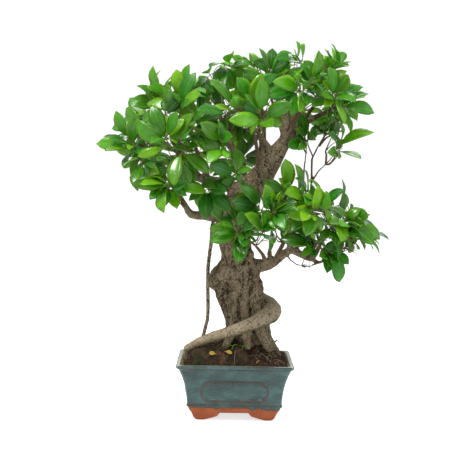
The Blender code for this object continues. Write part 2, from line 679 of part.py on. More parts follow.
def build_pot():
    outer = [pot_ring(half, z) for half, z in pot_levels()]
    bm = bmesh.new()
    tube(bm, outer)
    pot = add_object("pot", bm, material("glazed_stoneware", (0.06, 0.17, 0.15), 0.25))

    panels = [panel(f"panel_{k}", k % 2 == 0, k * math.pi / 2) for k in range(4)]
    combine(pot, "UNION", panels)

    cutters = []
    bm = bmesh.new()
    rings = cavity_rings(0, POT_HEIGHT - RIM_EDGE)
    last = cavity_half_length(POT_HEIGHT) + RIM_EDGE
    rings.append(pot_ring(last, POT_HEIGHT + RIM_EDGE / 6))
    rings.append(pot_ring(last, POT_HEIGHT + RIM_HEIGHT))
    tube(bm, rings)
    cutters.append(add_object("cavity", bm, None))

    bm = bmesh.new()
    inside = (BODY_LENGTH - POT_LENGTH + POT_DEPTH) / 2 - BASE_PROFILE[1][0] * MM - BASE_WALL
    inside += (POT_LENGTH - POT_DEPTH) / 2
    tube(bm, [pot_ring(inside, -FLOOR), pot_ring(inside + FLOOR / 2, FOOT_HEIGHT - RIM_EDGE)])
    cutters.append(add_object("recess", bm, None))

    foot = BODY_LENGTH / 2
    apron = FOOT_HEIGHT - APRON_DROP
    arches = ((foot - FOOT_LENGTH, False), (half_depth(foot) - FOOT_DEPTH, True))
    for reach, turned in arches:
        outline = []
        for side in (-1, 1):
            points = [(side * (reach + x * MM), share * apron) for x, share in ARCH_PROFILE]
            outline += points if side < 0 else points[::-1]
        cutters.append(prism("arch", outline, POT_LENGTH, turned))

    for side in (-1, 1):
        bm = bmesh.new()
        bmesh.ops.create_cone(
            bm, cap_ends=True, segments=20, radius1=DRAIN_RADIUS, radius2=DRAIN_RADIUS,
            depth=5 * FLOOR, matrix=Matrix.Translation((side * DRAIN_SPACING / 2, 0, FOOT_HEIGHT)),
        )
        cutters.append(add_object("drain", bm, None))
    for cutter in cutters:
        combine(pot, "DIFFERENCE", [cutter])
    return pot


def build_screens():
    """A square of plastic mesh over each drain hole."""
    plastic = material("screen_plastic", (0.02, 0.02, 0.02), 0.5)
    pitch = (SCREEN_SIDE - SCREEN_STRAND) / SCREEN_HOLES
    lines = []
    for k in range(SCREEN_HOLES + 1):
        lines += [k * pitch, k * pitch + SCREEN_STRAND]
    for name, side in (("drain_screen_left", -1), ("drain_screen_right", 1)):
        bm = bmesh.new()
        verts = [[bm.verts.new((x, y, 0)) for x in lines] for y in lines]
        for i in range(len(lines) - 1):
            for j in range(len(lines) - 1):
                if i % 2 and j % 2:
                    continue
                bm.faces.new((verts[i][j], verts[i][j + 1], verts[i + 1][j + 1], verts[i + 1][j]))
        bm.normal_update()
        bmesh.ops.solidify(bm, geom=bm.faces[:], thickness=SCREEN_THICKNESS)
        low = min(vert.co.z for vert in bm.verts)
        corner = Vector((side * DRAIN_SPACING / 2, 0, cavity_floor() + CLEARANCE - low))
        corner -= Vector((SCREEN_SIDE / 2, SCREEN_SIDE / 2, 0))
        bmesh.ops.translate(bm, verts=bm.verts[:], vec=corner)
        add_object(name, bm, plastic, smooth=False)


# ---------------------------------------------------------------- soil and moss


def soil_edge():
    return POT_HEIGHT - SOIL_BELOW_RIM


def soil_top(x, y):
    """The mound, highest round the trunk and falling to its edge at the pot's wall."""
    u = 2 * (x - MOUND_MIDDLE[0]) / MOUND_LENGTH
    v = 2 * (y - MOUND_MIDDLE[1]) / MOUND_DEPTH
    rise = SOIL_RISE * math.exp(-(u * u + v * v))
    rough = noise.noise(Vector((x * 70, y * 70, 3.0)))
    rough += 0.6 * noise.noise(Vector((x * 160, y * 160, 9.0)))
    return soil_edge() + rise + SOIL_ROUGHNESS * rough


def soil_body(name, lift=0.0, made=None):
    """The soil as one solid, or, with a lift, a raised copy to cut what lies on it."""
    inset = CLEARANCE
    rings = cavity_rings(inset, soil_edge() - 0.004)
    bottom = cavity_floor() + SCREEN_THICKNESS + 3 * CLEARANCE
    for point in rings[0]:
        point.z = bottom
    half = cavity_half_length(soil_edge()) - inset
    middle = Vector(MOUND_MIDDLE)
    for share in (1.0, 0.91, 0.8, 0.68, 0.56, 0.43, 0.3, 0.16):
        ring = []
        rounding = CORNER_RADIUS + (half_depth(half) - CORNER_RADIUS) * (1 - share) ** 0.6
        for point in pot_ring(half, 0, rounding):
            x = middle.x + (point.x - middle.x) * share
            y = middle.y + (point.y - middle.y) * share
            ring.append(Vector((x, y, soil_top(x, y) + lift)))
        rings.append(ring)
    bm = bmesh.new()
    cap, _ = start_tube(bm, rings[0], rings[1])
    for ring in rings[2:]:
        cap, _ = extend(bm, cap, ring)
    centre = bmesh.ops.poke(bm, faces=[cap])["verts"][0]
    centre.co.z = soil_top(centre.co.x, centre.co.y) + lift
    return add_object(name, bm, made)


# Moss cushions: middle and half sizes in mm, seen from above
MOSS = {
    "moss_cushion_front_left": ((-52, -32), (24, 16)),
    "moss_cushion_front": ((2, -43), (18, 12)),
    "moss_cushion_right": ((62, 30), (20, 20)),
    "moss_cushion_rear": ((-8, 50), (30, 12)),
    "moss_cushion_left": ((-68, 14), (17, 21)),
}


def build_moss(cutters):
    green = material("moss", (0.05, 0.10, 0.02), 0.95)
    for name, ((x, y), (half_x, half_y)) in MOSS.items():
        x *= MM * POT_LENGTH / DRAWN_POT_LENGTH
        y *= MM * POT_DEPTH / DRAWN_POT_DEPTH
        bm = bmesh.new()
        bmesh.ops.create_icosphere(bm, subdivisions=2, radius=1)
        bmesh.ops.scale(bm, verts=bm.verts[:], vec=(half_x * MM, half_y * MM, MOSS_THICKNESS))
        for vert in bm.verts:
            turn = math.atan2(vert.co.y, vert.co.x)
            reach = 1 + 0.12 * math.sin(3 * turn + x * 90) + 0.09 * math.sin(5 * turn + y * 130)
            lumps = noise.noise(Vector((vert.co.x * 110 + x * 900, vert.co.y * 110, 1.5)))
            vert.co.x = x + vert.co.x * reach
            vert.co.y = y + vert.co.y * reach
            vert.co.z += MOSS_THICKNESS * 0.4 * lumps + soil_top(vert.co.x, vert.co.y)
        obj = add_object(name, bm, green)
        combine(obj, "DIFFERENCE", [soil_body("raised_soil", CLEARANCE), *cutters(CLEARANCE)])
        keep_largest(obj)


# ---------------------------------------------------------------- wood


def wood_routes():
    """Every tube of the woody solid: name, sides, smooth route and how strongly it is fluted."""
    girth = TRUNK_GIRTH / DRAWN_GIRTH
    found = []
    groups = (
        ({"trunk": TRUNK}, 1, 0.05),
        ({"spiral_root": SPIRAL_ROOT}, 1, 0.03),
        (ROOTS, 1, 0.04),
        (LIMBS, 2, 0.0),
    )
    for group, steps, flute in groups:
        for name, (sides, points) in group.items():
            pairs = [(placed(point), point[3] * MM * girth) for point in points]
            fine = steps if sides > THIN_SIDES else 1
            found.append((name, sides, smooth_route(pairs, fine), flute))
    return found


def aerial_route():
    girth = TRUNK_GIRTH / DRAWN_GIRTH
    sides, points = AERIAL_ROOT
    return sides, smooth_route([(placed(p), p[3] * MM * girth) for p in points], 2)


def tube_object(name, sides, route, flute=0.0, grow=0.0, made=None):
    bm = bmesh.new()
    tube(bm, rings_along(route, sides, flute, grow))
    return add_object(name, bm, made)


def build_wood(routes):
    bark = material("bark", (0.20, 0.16, 0.11), 0.85)
    name, sides, route, flute = routes[0]
    wood = tube_object("trunk_and_branches", sides, route, flute, made=bark)
    others = [tube_object(name, sides, route, flute) for name, sides, route, flute in routes[1:]]
    combine(wood, "UNION", others)
    return wood


def wood_cutters(routes, low, high):
    """A function that makes the wood between two heights again, grown by a clearance."""

    def make(grow):
        made = []
        for name, sides, route, flute in routes:
            heights = [place.z for place, _ in route]
            if min(heights) < high and max(heights) > low:
                made.append(tube_object(name + "_room", sides, route, flute, grow))
        return made

    return make


def build_aerial_root(routes):
    root_bark = material("root_bark", (0.22, 0.19, 0.15), 0.9)
    sides, route = aerial_route()
    root = tube_object("aerial_root", sides, route, made=root_bark)
    near = route[0][0].z
    combine(root, "DIFFERENCE", wood_cutters(routes, near - 0.03, near + 0.03)(CLEARANCE))
    keep_largest(root)
    return root


# ---------------------------------------------------------------- leafy sprays


class Room:
    """What stands in the way of a new twig or leaf: chains of rings, each with its owner."""

    def __init__(self):
        self.items = []

    def add(self, rings, owner):
        points = [point for ring in rings for point in ring]
        middle = sum(points, Vector()) / len(points)
        reach = max((point - middle).length for point in points)
        self.items.append((middle, reach, chain_tree(rings), owner))

    def hits(self, rings, owner, own):
        """Whether the chain meets another owner's, or its owner's own where own is set."""
        points = [point for ring in rings for point in ring]
        middle = sum(points, Vector()) / len(points)
        reach = max((point - middle).length for point in points)
        tree = None
        for other_middle, other_reach, other_tree, other_owner in self.items:
            if (other_owner == owner) != own:
                continue
            if (middle - other_middle).length > reach + other_reach:
                continue
            tree = tree or chain_tree(rings)
            if tree.overlap(other_tree):
                return True
        return False


def chain_tree(rings):
    """The closed surface through rings of three points each, for overlap tests."""
    points = [point for ring in rings for point in ring]
    faces = [(0, 1, 2)]
    for i in range(len(rings) - 1):
        for k in range(3):
            a, b = 3 * i + k, 3 * i + (k + 1) % 3
            faces += [(a, b, a + 3), (b, b + 3, a + 3)]
    last = 3 * (len(rings) - 1)
    faces.append((last, last + 1, last + 2))
    return BVHTree.FromPolygons(points, faces)


def chain_from(face, rings):
    """The rings that grow from a face, with the face's corners as the first."""
    chain = [[loop.vert.co.copy() for loop in face.loops]]
    for ring in rings:
        chain.append(line_up(chain[-1], ring))
    return chain


def leaf_rings(base, direction, normal, length, grow=0.0):
    """A leaf's two cross sections and its tip, each as right, keel and left points."""
    width = LEAF_WIDTH * min(1.0, 0.25 + 0.75 * length / LEAF_LENGTH)
    across = direction.cross(normal)
    rings = []
    for share, spread in LEAF_STATIONS:
        rise = LEAF_ARCH * length * 4 * share * (1 - share)
        middle = base + direction * (length * share) + normal * rise
        reach = width * spread + grow
        edge = middle + normal * (LEAF_KEEL * 0.8 + grow)
        keel = middle - normal * (LEAF_KEEL * 0.2 + grow)
        rings.append([edge + across * reach, keel, edge - across * reach])
    tip = base + direction * (length + grow)
    tiny = 0.00005
    rings.append([tip + across * tiny, tip - normal * tiny, tip - across * tiny])
    return rings


def facing(place, direction, rng):
    """The way a leaf's face looks: up, outwards and a little to the front, square to the leaf."""
    outwards = Vector((place.x, place.y, 0))
    if outwards.length:
        outwards.normalize()
    front = Vector((0, -LEAF_FRONT, 0)) if place.y < LEAF_LENGTH / 2 else Vector()
    wish = Vector((0, 0, LEAF_UP)) + outwards * LEAF_OUT + front
    normal = wish - direction * wish.dot(direction)
    if normal.length < 1e-4:
        normal = direction.orthogonal()
    normal.normalize()
    return Matrix.Rotation(rng.uniform(-0.6, 0.6), 3, direction) @ normal


def limb_sites(routes):
    """Places on the limbs where a spray can start: centre, direction, radius, at the end or not."""
    sites = []
    for name, _, route, _ in routes:
        if name not in LIMBS:
            continue
        for i in range(2, len(route)):
            place, radius = route[i]
            axis = (place - route[i - 1][0]).normalized()
            sites.append((place, axis, radius, i == len(route) - 1))
    return sites


def stalk_starts(sites, goal):
    """Start points and directions for a stalk to a goal, the most natural first."""
    found = []
    for place, axis, radius, end in sites:
        way = goal - place
        if way.length < 0.012:
            continue
        lean = way.normalized().dot(axis)
        if lean < (0.2 if end else -0.2):
            continue
        cost = way.length * (1.7 - 0.7 * lean) * (0.72 if end else 1.0)
        found.append((cost, place, axis, radius, end))
    found.sort(key=lambda item: item[0])
    starts = []
    for _, place, axis, radius, end in found[:40]:
        way = (goal - place).normalized()
        if end:
            starts.append((place + axis * 1.5 * CLEARANCE, axis))
            continue
        angle = max(math.acos(min(max(way.dot(axis), -1), 1)), math.radians(40))
        square = (way - axis * way.dot(axis)).normalized()
        way = axis * math.cos(angle) + square * math.sin(angle)
        reach = radius + 1.5 * CLEARANCE + STALK_RADIUS * abs(math.cos(angle))
        starts.append((place + way * (reach / math.sin(angle)), way))
    return starts


def curve_to(start, way, goal, shares, radii):
    """A bent route that leaves along way and ends at the goal."""
    length = (goal - start).length
    bend = start + way * (0.45 * length)
    route = []
    for share, radius in zip(shares, radii):
        place = start.lerp(bend, share).lerp(bend.lerp(goal, share), share)
        route.append((place, radius))
    return route


def shoot_shares(length):
    step = min(NODE_SPACING / max(length, 1e-6), 0.3)
    return (0.0, (1 - 2 * step) / 2, 1 - 2 * step, 1 - step, 1.0)


SHOOT_TAPER = (1.0, 0.95, 0.9, 0.85, 0.7)


def plan_spray(shoots, sites, trees, room, name):
    """Finds a stalk and its shoots that stay clear of the wood and of other twigs."""
    tips = [placed(tip) for tip, _ in shoots]
    goal = sum(tips, Vector()) / len(tips)
    best = None
    for start, way in stalk_starts(sites, goal):
        span = (goal - start).length
        for reach, lift in itertools.product((0.45, 0.3, 0.6), (0, 1, -1)):
            fork = start + (way * 0.6 + (goal - start).normalized() * 0.4) * (span * reach)
            fork.z += lift * NODE_SPACING
            stalk = curve_to(
                start, way, fork, (0, 0.5, 1), (STALK_RADIUS, STALK_RADIUS * 0.9, TWIG_RADIUS)
            )
            ahead = (fork - stalk[1][0]).normalized()
            routes = [stalk]
            for tip in tips:
                shares = shoot_shares((tip - fork).length)
                radii = [TWIG_RADIUS * taper for taper in SHOOT_TAPER]
                routes.append(curve_to(fork, ahead, tip, shares, radii))
            chains = [rings_along(route, 3, grow=CLEARANCE * 0.6) for route in routes]
            faults = 0
            for chain in chains:
                tree = chain_tree(chain)
                faults += any(tree.overlap(other) for other in trees)
                faults += room.hits(chain, name, False)
            if best is None or faults < best[0]:
                best = (faults, routes)
            if not faults:
                return best
    return best


def split_site(bm, face):
    """Cuts a side face in two triangles and gives the upper one, where a leaf or shoot grows."""
    parts = bmesh.ops.triangulate(bm, faces=[face])["faces"]
    return max(parts, key=lambda part: part.calc_center_median().z)


def best_face(faces, place, goal):
    def score(face):
        return face.normal.dot((goal - place).normalized())

    for face in faces:
        face.normal_update()
    return max(faces, key=score)


def grow_twigs(routes):
    """The spray's twigs as one closed bmesh, its shoots and all their chains of rings."""
    bm = bmesh.new()
    stalk = rings_along(routes[0], 3)
    cap, _ = start_tube(bm, stalk[0], stalk[1])
    cap, sides = extend(bm, cap, stalk[2])
    shoots = []
    chains = [stalk]
    free = list(sides)
    for number, route in enumerate(routes[1:]):
        end = cap
        if number:
            face = best_face(free, route[0][0], route[2][0])
            free.remove(face)
            end = split_site(bm, face)
        rings = rings_along(route, 3)
        chains.append(chain_from(end, rings[1:]))
        joints = []
        for k, ring in enumerate(rings[1:]):
            end, around = extend(bm, end, ring)
            if k >= 2:
                joints += around
        shoots.append({"end": end, "joints": joints, "tip": route[-1][0],
                       "axis": (route[-1][0] - route[-2][0]).normalized()})
    return bm, shoots, chains


def try_leaf(spray, face, direction, length, trees, room, facings=5):
    """Grows one leaf from a face if there is room for it."""
    base = face.calc_center_median()
    for _ in range(facings):
        normal = facing(base, direction, spray["rng"])
        whole = chain_from(face, leaf_rings(base, direction, normal, length, CLEARANCE))
        tree = chain_tree(whole)
        if any(tree.overlap(other) for other in trees):
            continue
        if room.hits(whole, spray["name"], False) or room.hits(whole[1:], spray["name"], True):
            continue
        rings = leaf_rings(base, direction, normal, length)
        room.add(chain_from(face, rings), spray["name"])
        cap = face
        for ring in rings[:2]:
            cap, _ = extend(spray["bm"], cap, ring)
        point = bmesh.ops.poke(spray["bm"], faces=[cap])["verts"][0]
        point.co = sum(rings[2], Vector()) / 3
        spray["leaves"] += 1
        return True
    return False


def take_joint(spray, shoot, direction, share=0.25):
    """The free joint that looks most along the direction, as a triangle to grow from."""
    quads = shoot["joints"]
    if not quads:
        return None
    for face in quads:
        face.normal_update()
    face = max(quads, key=lambda quad: quad.normal.dot(direction))
    if face.normal.dot(direction) < share:
        return None
    quads.remove(face)
    return split_site(spray["bm"], face)


def set_leaves(spray, shoot, tips, trees, room):
    """The leaves whose tips are set by hand."""
    rng = spray["rng"]
    for tip in tips:
        goal = placed(tip)
        direction = (goal - shoot["tip"]).normalized()
        face = take_joint(spray, shoot, direction)
        if face is None:
            continue
        base = face.calc_center_median()
        way = goal - base
        length = min(max(way.length, 0.7 * LEAF_LENGTH), 1.25 * LEAF_LENGTH)
        for turn in range(5):
            aside = Vector([rng.uniform(-0.12, 0.12) * turn for _ in range(3)])
            direction = (way.normalized() + aside).normalized()
            if try_leaf(spray, face, direction, length, trees, room):
                shoot["leaves"] += 1
                break
            length *= 0.93


def free_leaves(spray, shoot, trees, room):
    """Fills the shoot with leaves that stand away from it in turn, the end leaf first."""
    rng = spray["rng"]
    axis = shoot["axis"]
    if shoot["end"] is not None:
        for _ in range(6):
            aside = Vector([rng.uniform(-0.5, 0.5) for _ in range(3)])
            direction = (axis + aside).normalized()
            length = LEAF_LENGTH * rng.uniform(0.68, 0.95)
            if try_leaf(spray, shoot["end"], direction, length, trees, room, 2):
                shoot["leaves"] += 1
                shoot["end"] = None
                break
    quads = list(shoot["joints"])
    quads.reverse()
    for quad in quads:
        if shoot["leaves"] >= LEAVES_PER_SHOOT:
            break
        quad.normal_update()
        outward = quad.normal.copy()
        shoot["joints"].remove(quad)
        face = split_site(spray["bm"], quad)
        for turn in range(9):
            lean = math.radians(rng.uniform(25, 65))
            twist = Matrix.Rotation(rng.uniform(-0.55, 0.55), 3, axis)
            direction = twist @ (axis * math.sin(lean) + outward * math.cos(lean))
            direction.z += rng.uniform(-0.25, 0.2)
            direction.normalize()
            length = LEAF_LENGTH * rng.uniform(0.82, 1.12) * (0.96**turn)
            if direction.dot(outward) < 0.2:
                continue
            if try_leaf(spray, face, direction, length, trees, room, 2):
                shoot["leaves"] += 1
                break


def rear_sprays(rng):
    """Sprays over the back of the foliage pads, each a few shoots at near bearings."""
    found = {}
    for name, (middle, half, sprays) in REAR_PADS.items():
        for number, (bearings, heights) in enumerate(sprays):
            shoots = []
            for bearing, height in itertools.product(bearings, heights):
                turn = math.radians(bearing + rng.uniform(-7, 7) + height * 0.12)
                rise = math.radians(height + rng.uniform(-5, 5))
                tip = (
                    middle[0] + half[0] * math.cos(turn) * math.cos(rise),
                    middle[1] + half[1] * math.sin(turn) * math.cos(rise),
                    middle[2] + half[2] * math.sin(rise),
                )
                shoots.append((tip, ()))
            found[f"{name}_{number + 1}"] = tuple(shoots)
    return found


def build_sprays(routes, solids):
    """Every leafy spray as its own object."""
    green = material("leaf", (0.09, 0.30, 0.03), 0.35)
    graph = bpy.context.evaluated_depsgraph_get()
    trees = [BVHTree.FromObject(solid, graph) for solid in solids]
    room = Room()
    sites = limb_sites(routes)
    table = {**FRONT_SPRAYS, **rear_sprays(random.Random(SEED))}
    sprays = []
    for name, shoots in table.items():
        faults, twig_routes = plan_spray(shoots, sites, trees, room, name)
        if faults:
            print("crowded twigs:", name, faults)
        bm, grown, chains = grow_twigs(twig_routes)
        for chain in chains:
            room.add(chain, name)
        for shoot, (_, tips) in zip(grown, shoots):
            shoot["tips"] = tips
            shoot["leaves"] = 0
        rng = random.Random(f"{SEED} {name} {REDRAWN.get(name, 0)}")
        sprays.append({"name": name, "bm": bm, "shoots": grown, "leaves": 0, "rng": rng})
    for spray in sprays:
        for shoot in spray["shoots"]:
            set_leaves(spray, shoot, shoot["tips"], trees, room)
    for spray in sprays:
        for shoot in spray["shoots"]:
            free_leaves(spray, shoot, trees, room)
    total = 0
    for spray in sprays:
        for shoot in spray["shoots"]:
            if shoot["end"] is not None:
                bud = bmesh.ops.poke(spray["bm"], faces=[shoot["end"]])["verts"][0]
                bud.co += shoot["axis"] * BUD_LENGTH
        total += spray["leaves"]
        obj = add_object("spray_" + spray["name"], spray["bm"], green)
        obj.data.materials[0] = green
    print(len(sprays), "sprays,", total, "leaves")


# ---------------------------------------------------------------- the whole


def centre_on_base():
    """Moves every mesh so that the origin is under the middle of the whole object's box."""
    objects = [obj for obj in bpy.context.scene.objects if obj.type == "MESH"]
    corners = [vert.co for obj in objects for vert in obj.data.vertices]
    low = Vector([min(co[k] for co in corners) for k in range(3)])
    high = Vector([max(co[k] for co in corners) for k in range(3)])
    shift = Matrix.Translation((-(low.x + high.x) / 2, -(low.y + high.y) / 2, -low.z))
    for obj in objects:
        obj.data.transform(shift)
    print("pot's middle is at", [round(value, 5) for value in shift.translation])


def main():
    clear_scene()
    build_pot()
    build_screens()
    routes = wood_routes()
    wood = build_wood(routes)
    root = build_aerial_root(routes)
    in_soil = wood_cutters(routes, 0, POT_HEIGHT + SOIL_RISE)
    sides, route = aerial_route()

    def soil_cutters(grow):
        return [*in_soil(grow), tube_object("aerial_room", sides, route, grow=grow)]

    soil = soil_body("soil", made=material("soil", (0.05, 0.03, 0.02), 0.95))
    combine(soil, "DIFFERENCE", soil_cutters(CLEARANCE))
    keep_largest(soil)
    build_moss(soil_cutters)
    build_sprays(routes, (wood, root, soil, bpy.data.objects["pot"]))
    centre_on_base()


main()
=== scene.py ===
import math
import random

import bmesh
import bpy
import numpy as np
from mathutils import Matrix, Vector, noise
from mathutils.bvhtree import BVHTree


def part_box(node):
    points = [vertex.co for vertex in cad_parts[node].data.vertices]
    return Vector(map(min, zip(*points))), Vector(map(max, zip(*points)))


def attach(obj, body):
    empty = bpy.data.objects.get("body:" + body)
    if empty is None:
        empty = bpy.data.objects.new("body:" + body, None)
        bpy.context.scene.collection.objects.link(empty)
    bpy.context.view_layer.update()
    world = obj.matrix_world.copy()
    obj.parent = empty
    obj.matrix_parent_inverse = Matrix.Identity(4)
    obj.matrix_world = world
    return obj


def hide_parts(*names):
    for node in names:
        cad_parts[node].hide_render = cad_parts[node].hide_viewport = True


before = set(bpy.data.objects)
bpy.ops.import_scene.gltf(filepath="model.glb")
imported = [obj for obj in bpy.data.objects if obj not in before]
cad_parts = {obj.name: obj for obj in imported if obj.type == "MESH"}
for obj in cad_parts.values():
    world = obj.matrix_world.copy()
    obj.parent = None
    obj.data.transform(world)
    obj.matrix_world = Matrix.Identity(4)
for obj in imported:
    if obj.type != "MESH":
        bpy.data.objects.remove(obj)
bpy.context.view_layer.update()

potLow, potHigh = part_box("pot")
potMiddle = Vector(((potLow.x + potHigh.x) / 2, (potLow.y + potHigh.y) / 2, 0))
mm = 0.001
up = Vector((0, 0, 1))
print("frame loaded", len(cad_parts), "nodes")


# shared mesh helpers

def drawn(x, y, z=0):  # a place in mm from the middle of the pot
    return potMiddle + Vector((x, y, z)) * mm


def mergedCopy(*names):  # the CAD triangles of some nodes, joined into closed shells
    bm = bmesh.new()
    for name in names:
        bm.from_mesh(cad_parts[name].data)
    bmesh.ops.remove_doubles(bm, verts=bm.verts[:], dist=0.02 * mm)
    return bm


def nodesNamed(start):
    return [name for name in sorted(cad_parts) if name.startswith(start)]


def meshFrom(name, bm):
    mesh = bpy.data.meshes.new(name)
    bm.to_mesh(mesh)
    bm.free()
    return mesh


def addObject(name, bm, materials=(), smooth=True):
    mesh = meshFrom(name, bm)
    if smooth:
        mesh.shade_smooth()
    obj = bpy.data.objects.new(name, mesh)
    bpy.context.scene.collection.objects.link(obj)
    for material in materials:
        mesh.materials.append(material)
    return obj


def applyModifiers(obj):
    graph = bpy.context.evaluated_depsgraph_get()
    made = bpy.data.meshes.new_from_object(obj.evaluated_get(graph))
    obj.modifiers.clear()
    obj.data = made


def remesh(obj, voxel, smoothing):  # one even skin over everything in the object
    skin = obj.modifiers.new("skin", "REMESH")
    skin.mode = "VOXEL"
    skin.voxel_size = voxel
    skin.use_smooth_shade = True
    soften = obj.modifiers.new("soften", "SMOOTH")
    soften.factor = 0.5
    soften.iterations = smoothing
    applyModifiers(obj)


def vertexData(mesh):
    co = np.empty(len(mesh.vertices) * 3)
    normals = np.empty(len(mesh.vertices) * 3)
    mesh.vertices.foreach_get("co", co)
    mesh.vertices.foreach_get("normal", normals)
    return co.reshape(-1, 3), normals.reshape(-1, 3)


def moveVertices(mesh, co):
    mesh.vertices.foreach_set("co", co.reshape(-1))
    mesh.update()


def setMask(mesh, name, *channels):  # up to four numbers for each point, read by the materials
    values = np.zeros((len(mesh.vertices), 4))
    values[:, 3] = 1
    for k, channel in enumerate(channels):
        values[:, k] = np.clip(channel, 0, 1)
    layer = mesh.attributes.new(name, "FLOAT_COLOR", "POINT")
    layer.data.foreach_set("color", values.reshape(-1))


def neighbourMean(mesh, values):  # each point's mean over the points next to it
    ends = np.empty(len(mesh.edges) * 2, int)
    mesh.edges.foreach_get("vertices", ends)
    a, b = ends.reshape(-1, 2).T
    total = np.zeros_like(values)
    count = np.zeros(len(values))
    np.add.at(total, a, values[b])
    np.add.at(total, b, values[a])
    np.add.at(count, a, 1)
    np.add.at(count, b, 1)
    count = np.maximum(count, 1)
    return total / (count[:, None] if values.ndim > 1 else count)


def softened(mesh, values, rounds):  # blends each point's value with those next to it
    for _ in range(rounds):
        values = (values + neighbourMean(mesh, values)) / 2
    return values


def convexity(mesh, rounds=2):  # above zero on edges that stand out, below zero in hollows
    co, normals = vertexData(mesh)
    return softened(mesh, ((co - neighbourMean(mesh, co)) * normals).sum(1), rounds)


def lumps(co, scale, seed, stretch=(1, 1, 1)):  # smooth noise for each point, about -1 to 1
    spread = [scale * s for s in stretch]
    shift = seed * 7.31
    return np.array([
        noise.noise((x * spread[0] + shift, y * spread[1] - shift, z * spread[2] + shift))
        for x, y, z in co
    ])


def ramped(values, low, high):
    t = np.clip((values - low) / (high - low), 0, 1)
    return t * t * (3 - 2 * t)


def treeOf(mesh):
    return BVHTree.FromPolygons(
        [v.co.copy() for v in mesh.vertices], [tuple(p.vertices) for p in mesh.polygons]
    )


def thickness(mesh, tree, most):  # how deep the solid is under each point
    co, normals = vertexData(mesh)
    found = np.full(len(co), most)
    for k in range(len(co)):
        inwards = -Vector(normals[k])
        hit = tree.ray_cast(Vector(co[k]) + inwards * 0.3 * mm, inwards, most)
        if hit[0] is not None:
            found[k] = hit[3]
    return softened(mesh, found, 6)


def addTube(bm, route, sides=6, materialIndex=0):  # a closed round tube along (place, radius)
    start = bmesh.ops.create_circle(bm, segments=sides, radius=1, cap_ends=False)["verts"]
    edges = list({edge for vert in start for edge in vert.link_edges})
    side = None
    ring = start
    for k, (place, radius) in enumerate(route):
        ahead = route[min(k + 1, len(route) - 1)][0]
        behind = route[max(k - 1, 0)][0]
        axis = (ahead - behind).normalized()
        side = axis.orthogonal() if side is None else side - axis * side.dot(axis)
        side.normalize()
        across = axis.cross(side)
        if k:
            made = bmesh.ops.extrude_edge_only(bm, edges=edges)["geom"]
            fresh = [item for item in made if isinstance(item, bmesh.types.BMVert)]
            edges = [item for item in made if isinstance(item, bmesh.types.BMEdge)]
            edges = [edge for edge in edges if all(vert in fresh for vert in edge.verts)]
            order = {}
            for vert in fresh:
                for edge in vert.link_edges:
                    other = edge.other_vert(vert)
                    if other in ring:
                        order[ring.index(other)] = vert
            ring = [order[i] for i in range(sides)]
        for i, vert in enumerate(ring):
            turn = 2 * math.pi * i / sides
            vert.co = place + (side * math.cos(turn) + across * math.sin(turn)) * radius
    for corners in (list(reversed(start)), ring):
        bm.faces.new(corners).material_index = materialIndex


def curvedRoute(points, steps=4):  # Catmull-Rom through (place, radius) pairs
    ends = [points[0], *points, points[-1]]
    route = []
    for i in range(1, len(ends) - 2):
        for k in range(steps):
            t = k / steps
            w = ((-t + 2 * t * t - t**3) / 2, (2 - 5 * t * t + 3 * t**3) / 2,
                 (t + 4 * t * t - 3 * t**3) / 2, (-t * t + t**3) / 2)
            near = ends[i - 1:i + 3]
            place = sum((a * p for a, (p, _) in zip(w, near)), Vector())
            route.append((place, max(sum(a * r for a, (_, r) in zip(w, near)), 0.0001)))
    route.append(points[-1])
    return route


def maskedMesh(name):  # an empty mesh whose points carry four numbers for the materials
    bm = bmesh.new()
    return bm, bm.verts.layers.float_color.new(name)


def openEdges(bm):
    return [edge for edge in bm.edges if edge.is_boundary]


def faceOut(bm):
    bmesh.ops.recalc_face_normals(bm, faces=bm.faces[:])


def jitter(rng, reach):  # up to the same reach either way on each axis
    return Vector([rng.uniform(-reach, reach) for _ in range(3)])


def finishPiece(obj, slotName, *nodes):
    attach(obj, "root")
    if nodes:
        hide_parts(*nodes)


# shared material helpers

def newMaterial(name):
    material = bpy.data.materials.new(name)
    material.use_nodes = True
    tree = material.node_tree
    return material, tree, tree.nodes["Principled BSDF"]


def setInputs(tree, node, inputs):  # each input takes a plain value or a link
    for key, value in inputs.items():
        if isinstance(value, bpy.types.NodeSocket):
            tree.links.new(value, node.inputs[key])
        else:
            node.inputs[key].default_value = value
    return node


def addNode(tree, kind, inputs=None, **settings):
    made = tree.nodes.new(kind)
    for key, value in settings.items():
        setattr(made, key, value)
    return setInputs(tree, made, inputs or {})


def colour(r, g, b):
    return (r, g, b, 1.0)


def mixColours(tree, factor, a, b, blend="MIX"):
    made = addNode(tree, "ShaderNodeMix", {0: factor, 6: a, 7: b}, data_type="RGBA", blend_type=blend)
    return made.outputs[2]


def compute(tree, operation, a, b=0.0):
    return addNode(tree, "ShaderNodeMath", {0: a, 1: b}, operation=operation).outputs[0]


def times(tree, a, b):
    return compute(tree, "MULTIPLY", a, b)


def tint(tree, base, mask, share, over):  # another colour over the base, by a share of the mask
    return mixColours(tree, times(tree, mask, share), base, over)


def between(tree, value, low, high, toLow=0.0, toHigh=1.0):
    made = addNode(tree, "ShaderNodeMapRange",
                   {0: value, 1: low, 2: high, 3: toLow, 4: toHigh}, interpolation_type="SMOOTHSTEP")
    return made.outputs[0]


def objectPlace(tree, stretch=(1, 1, 1)):
    place = addNode(tree, "ShaderNodeTexCoord").outputs["Object"]
    return addNode(tree, "ShaderNodeMapping", {"Vector": place, "Scale": stretch}).outputs[0]


def noisePattern(tree, place, scale, detail=3.0, roughness=0.55):
    made = addNode(tree, "ShaderNodeTexNoise",
                   {"Vector": place, "Scale": scale, "Detail": detail, "Roughness": roughness})
    return made.outputs[0]


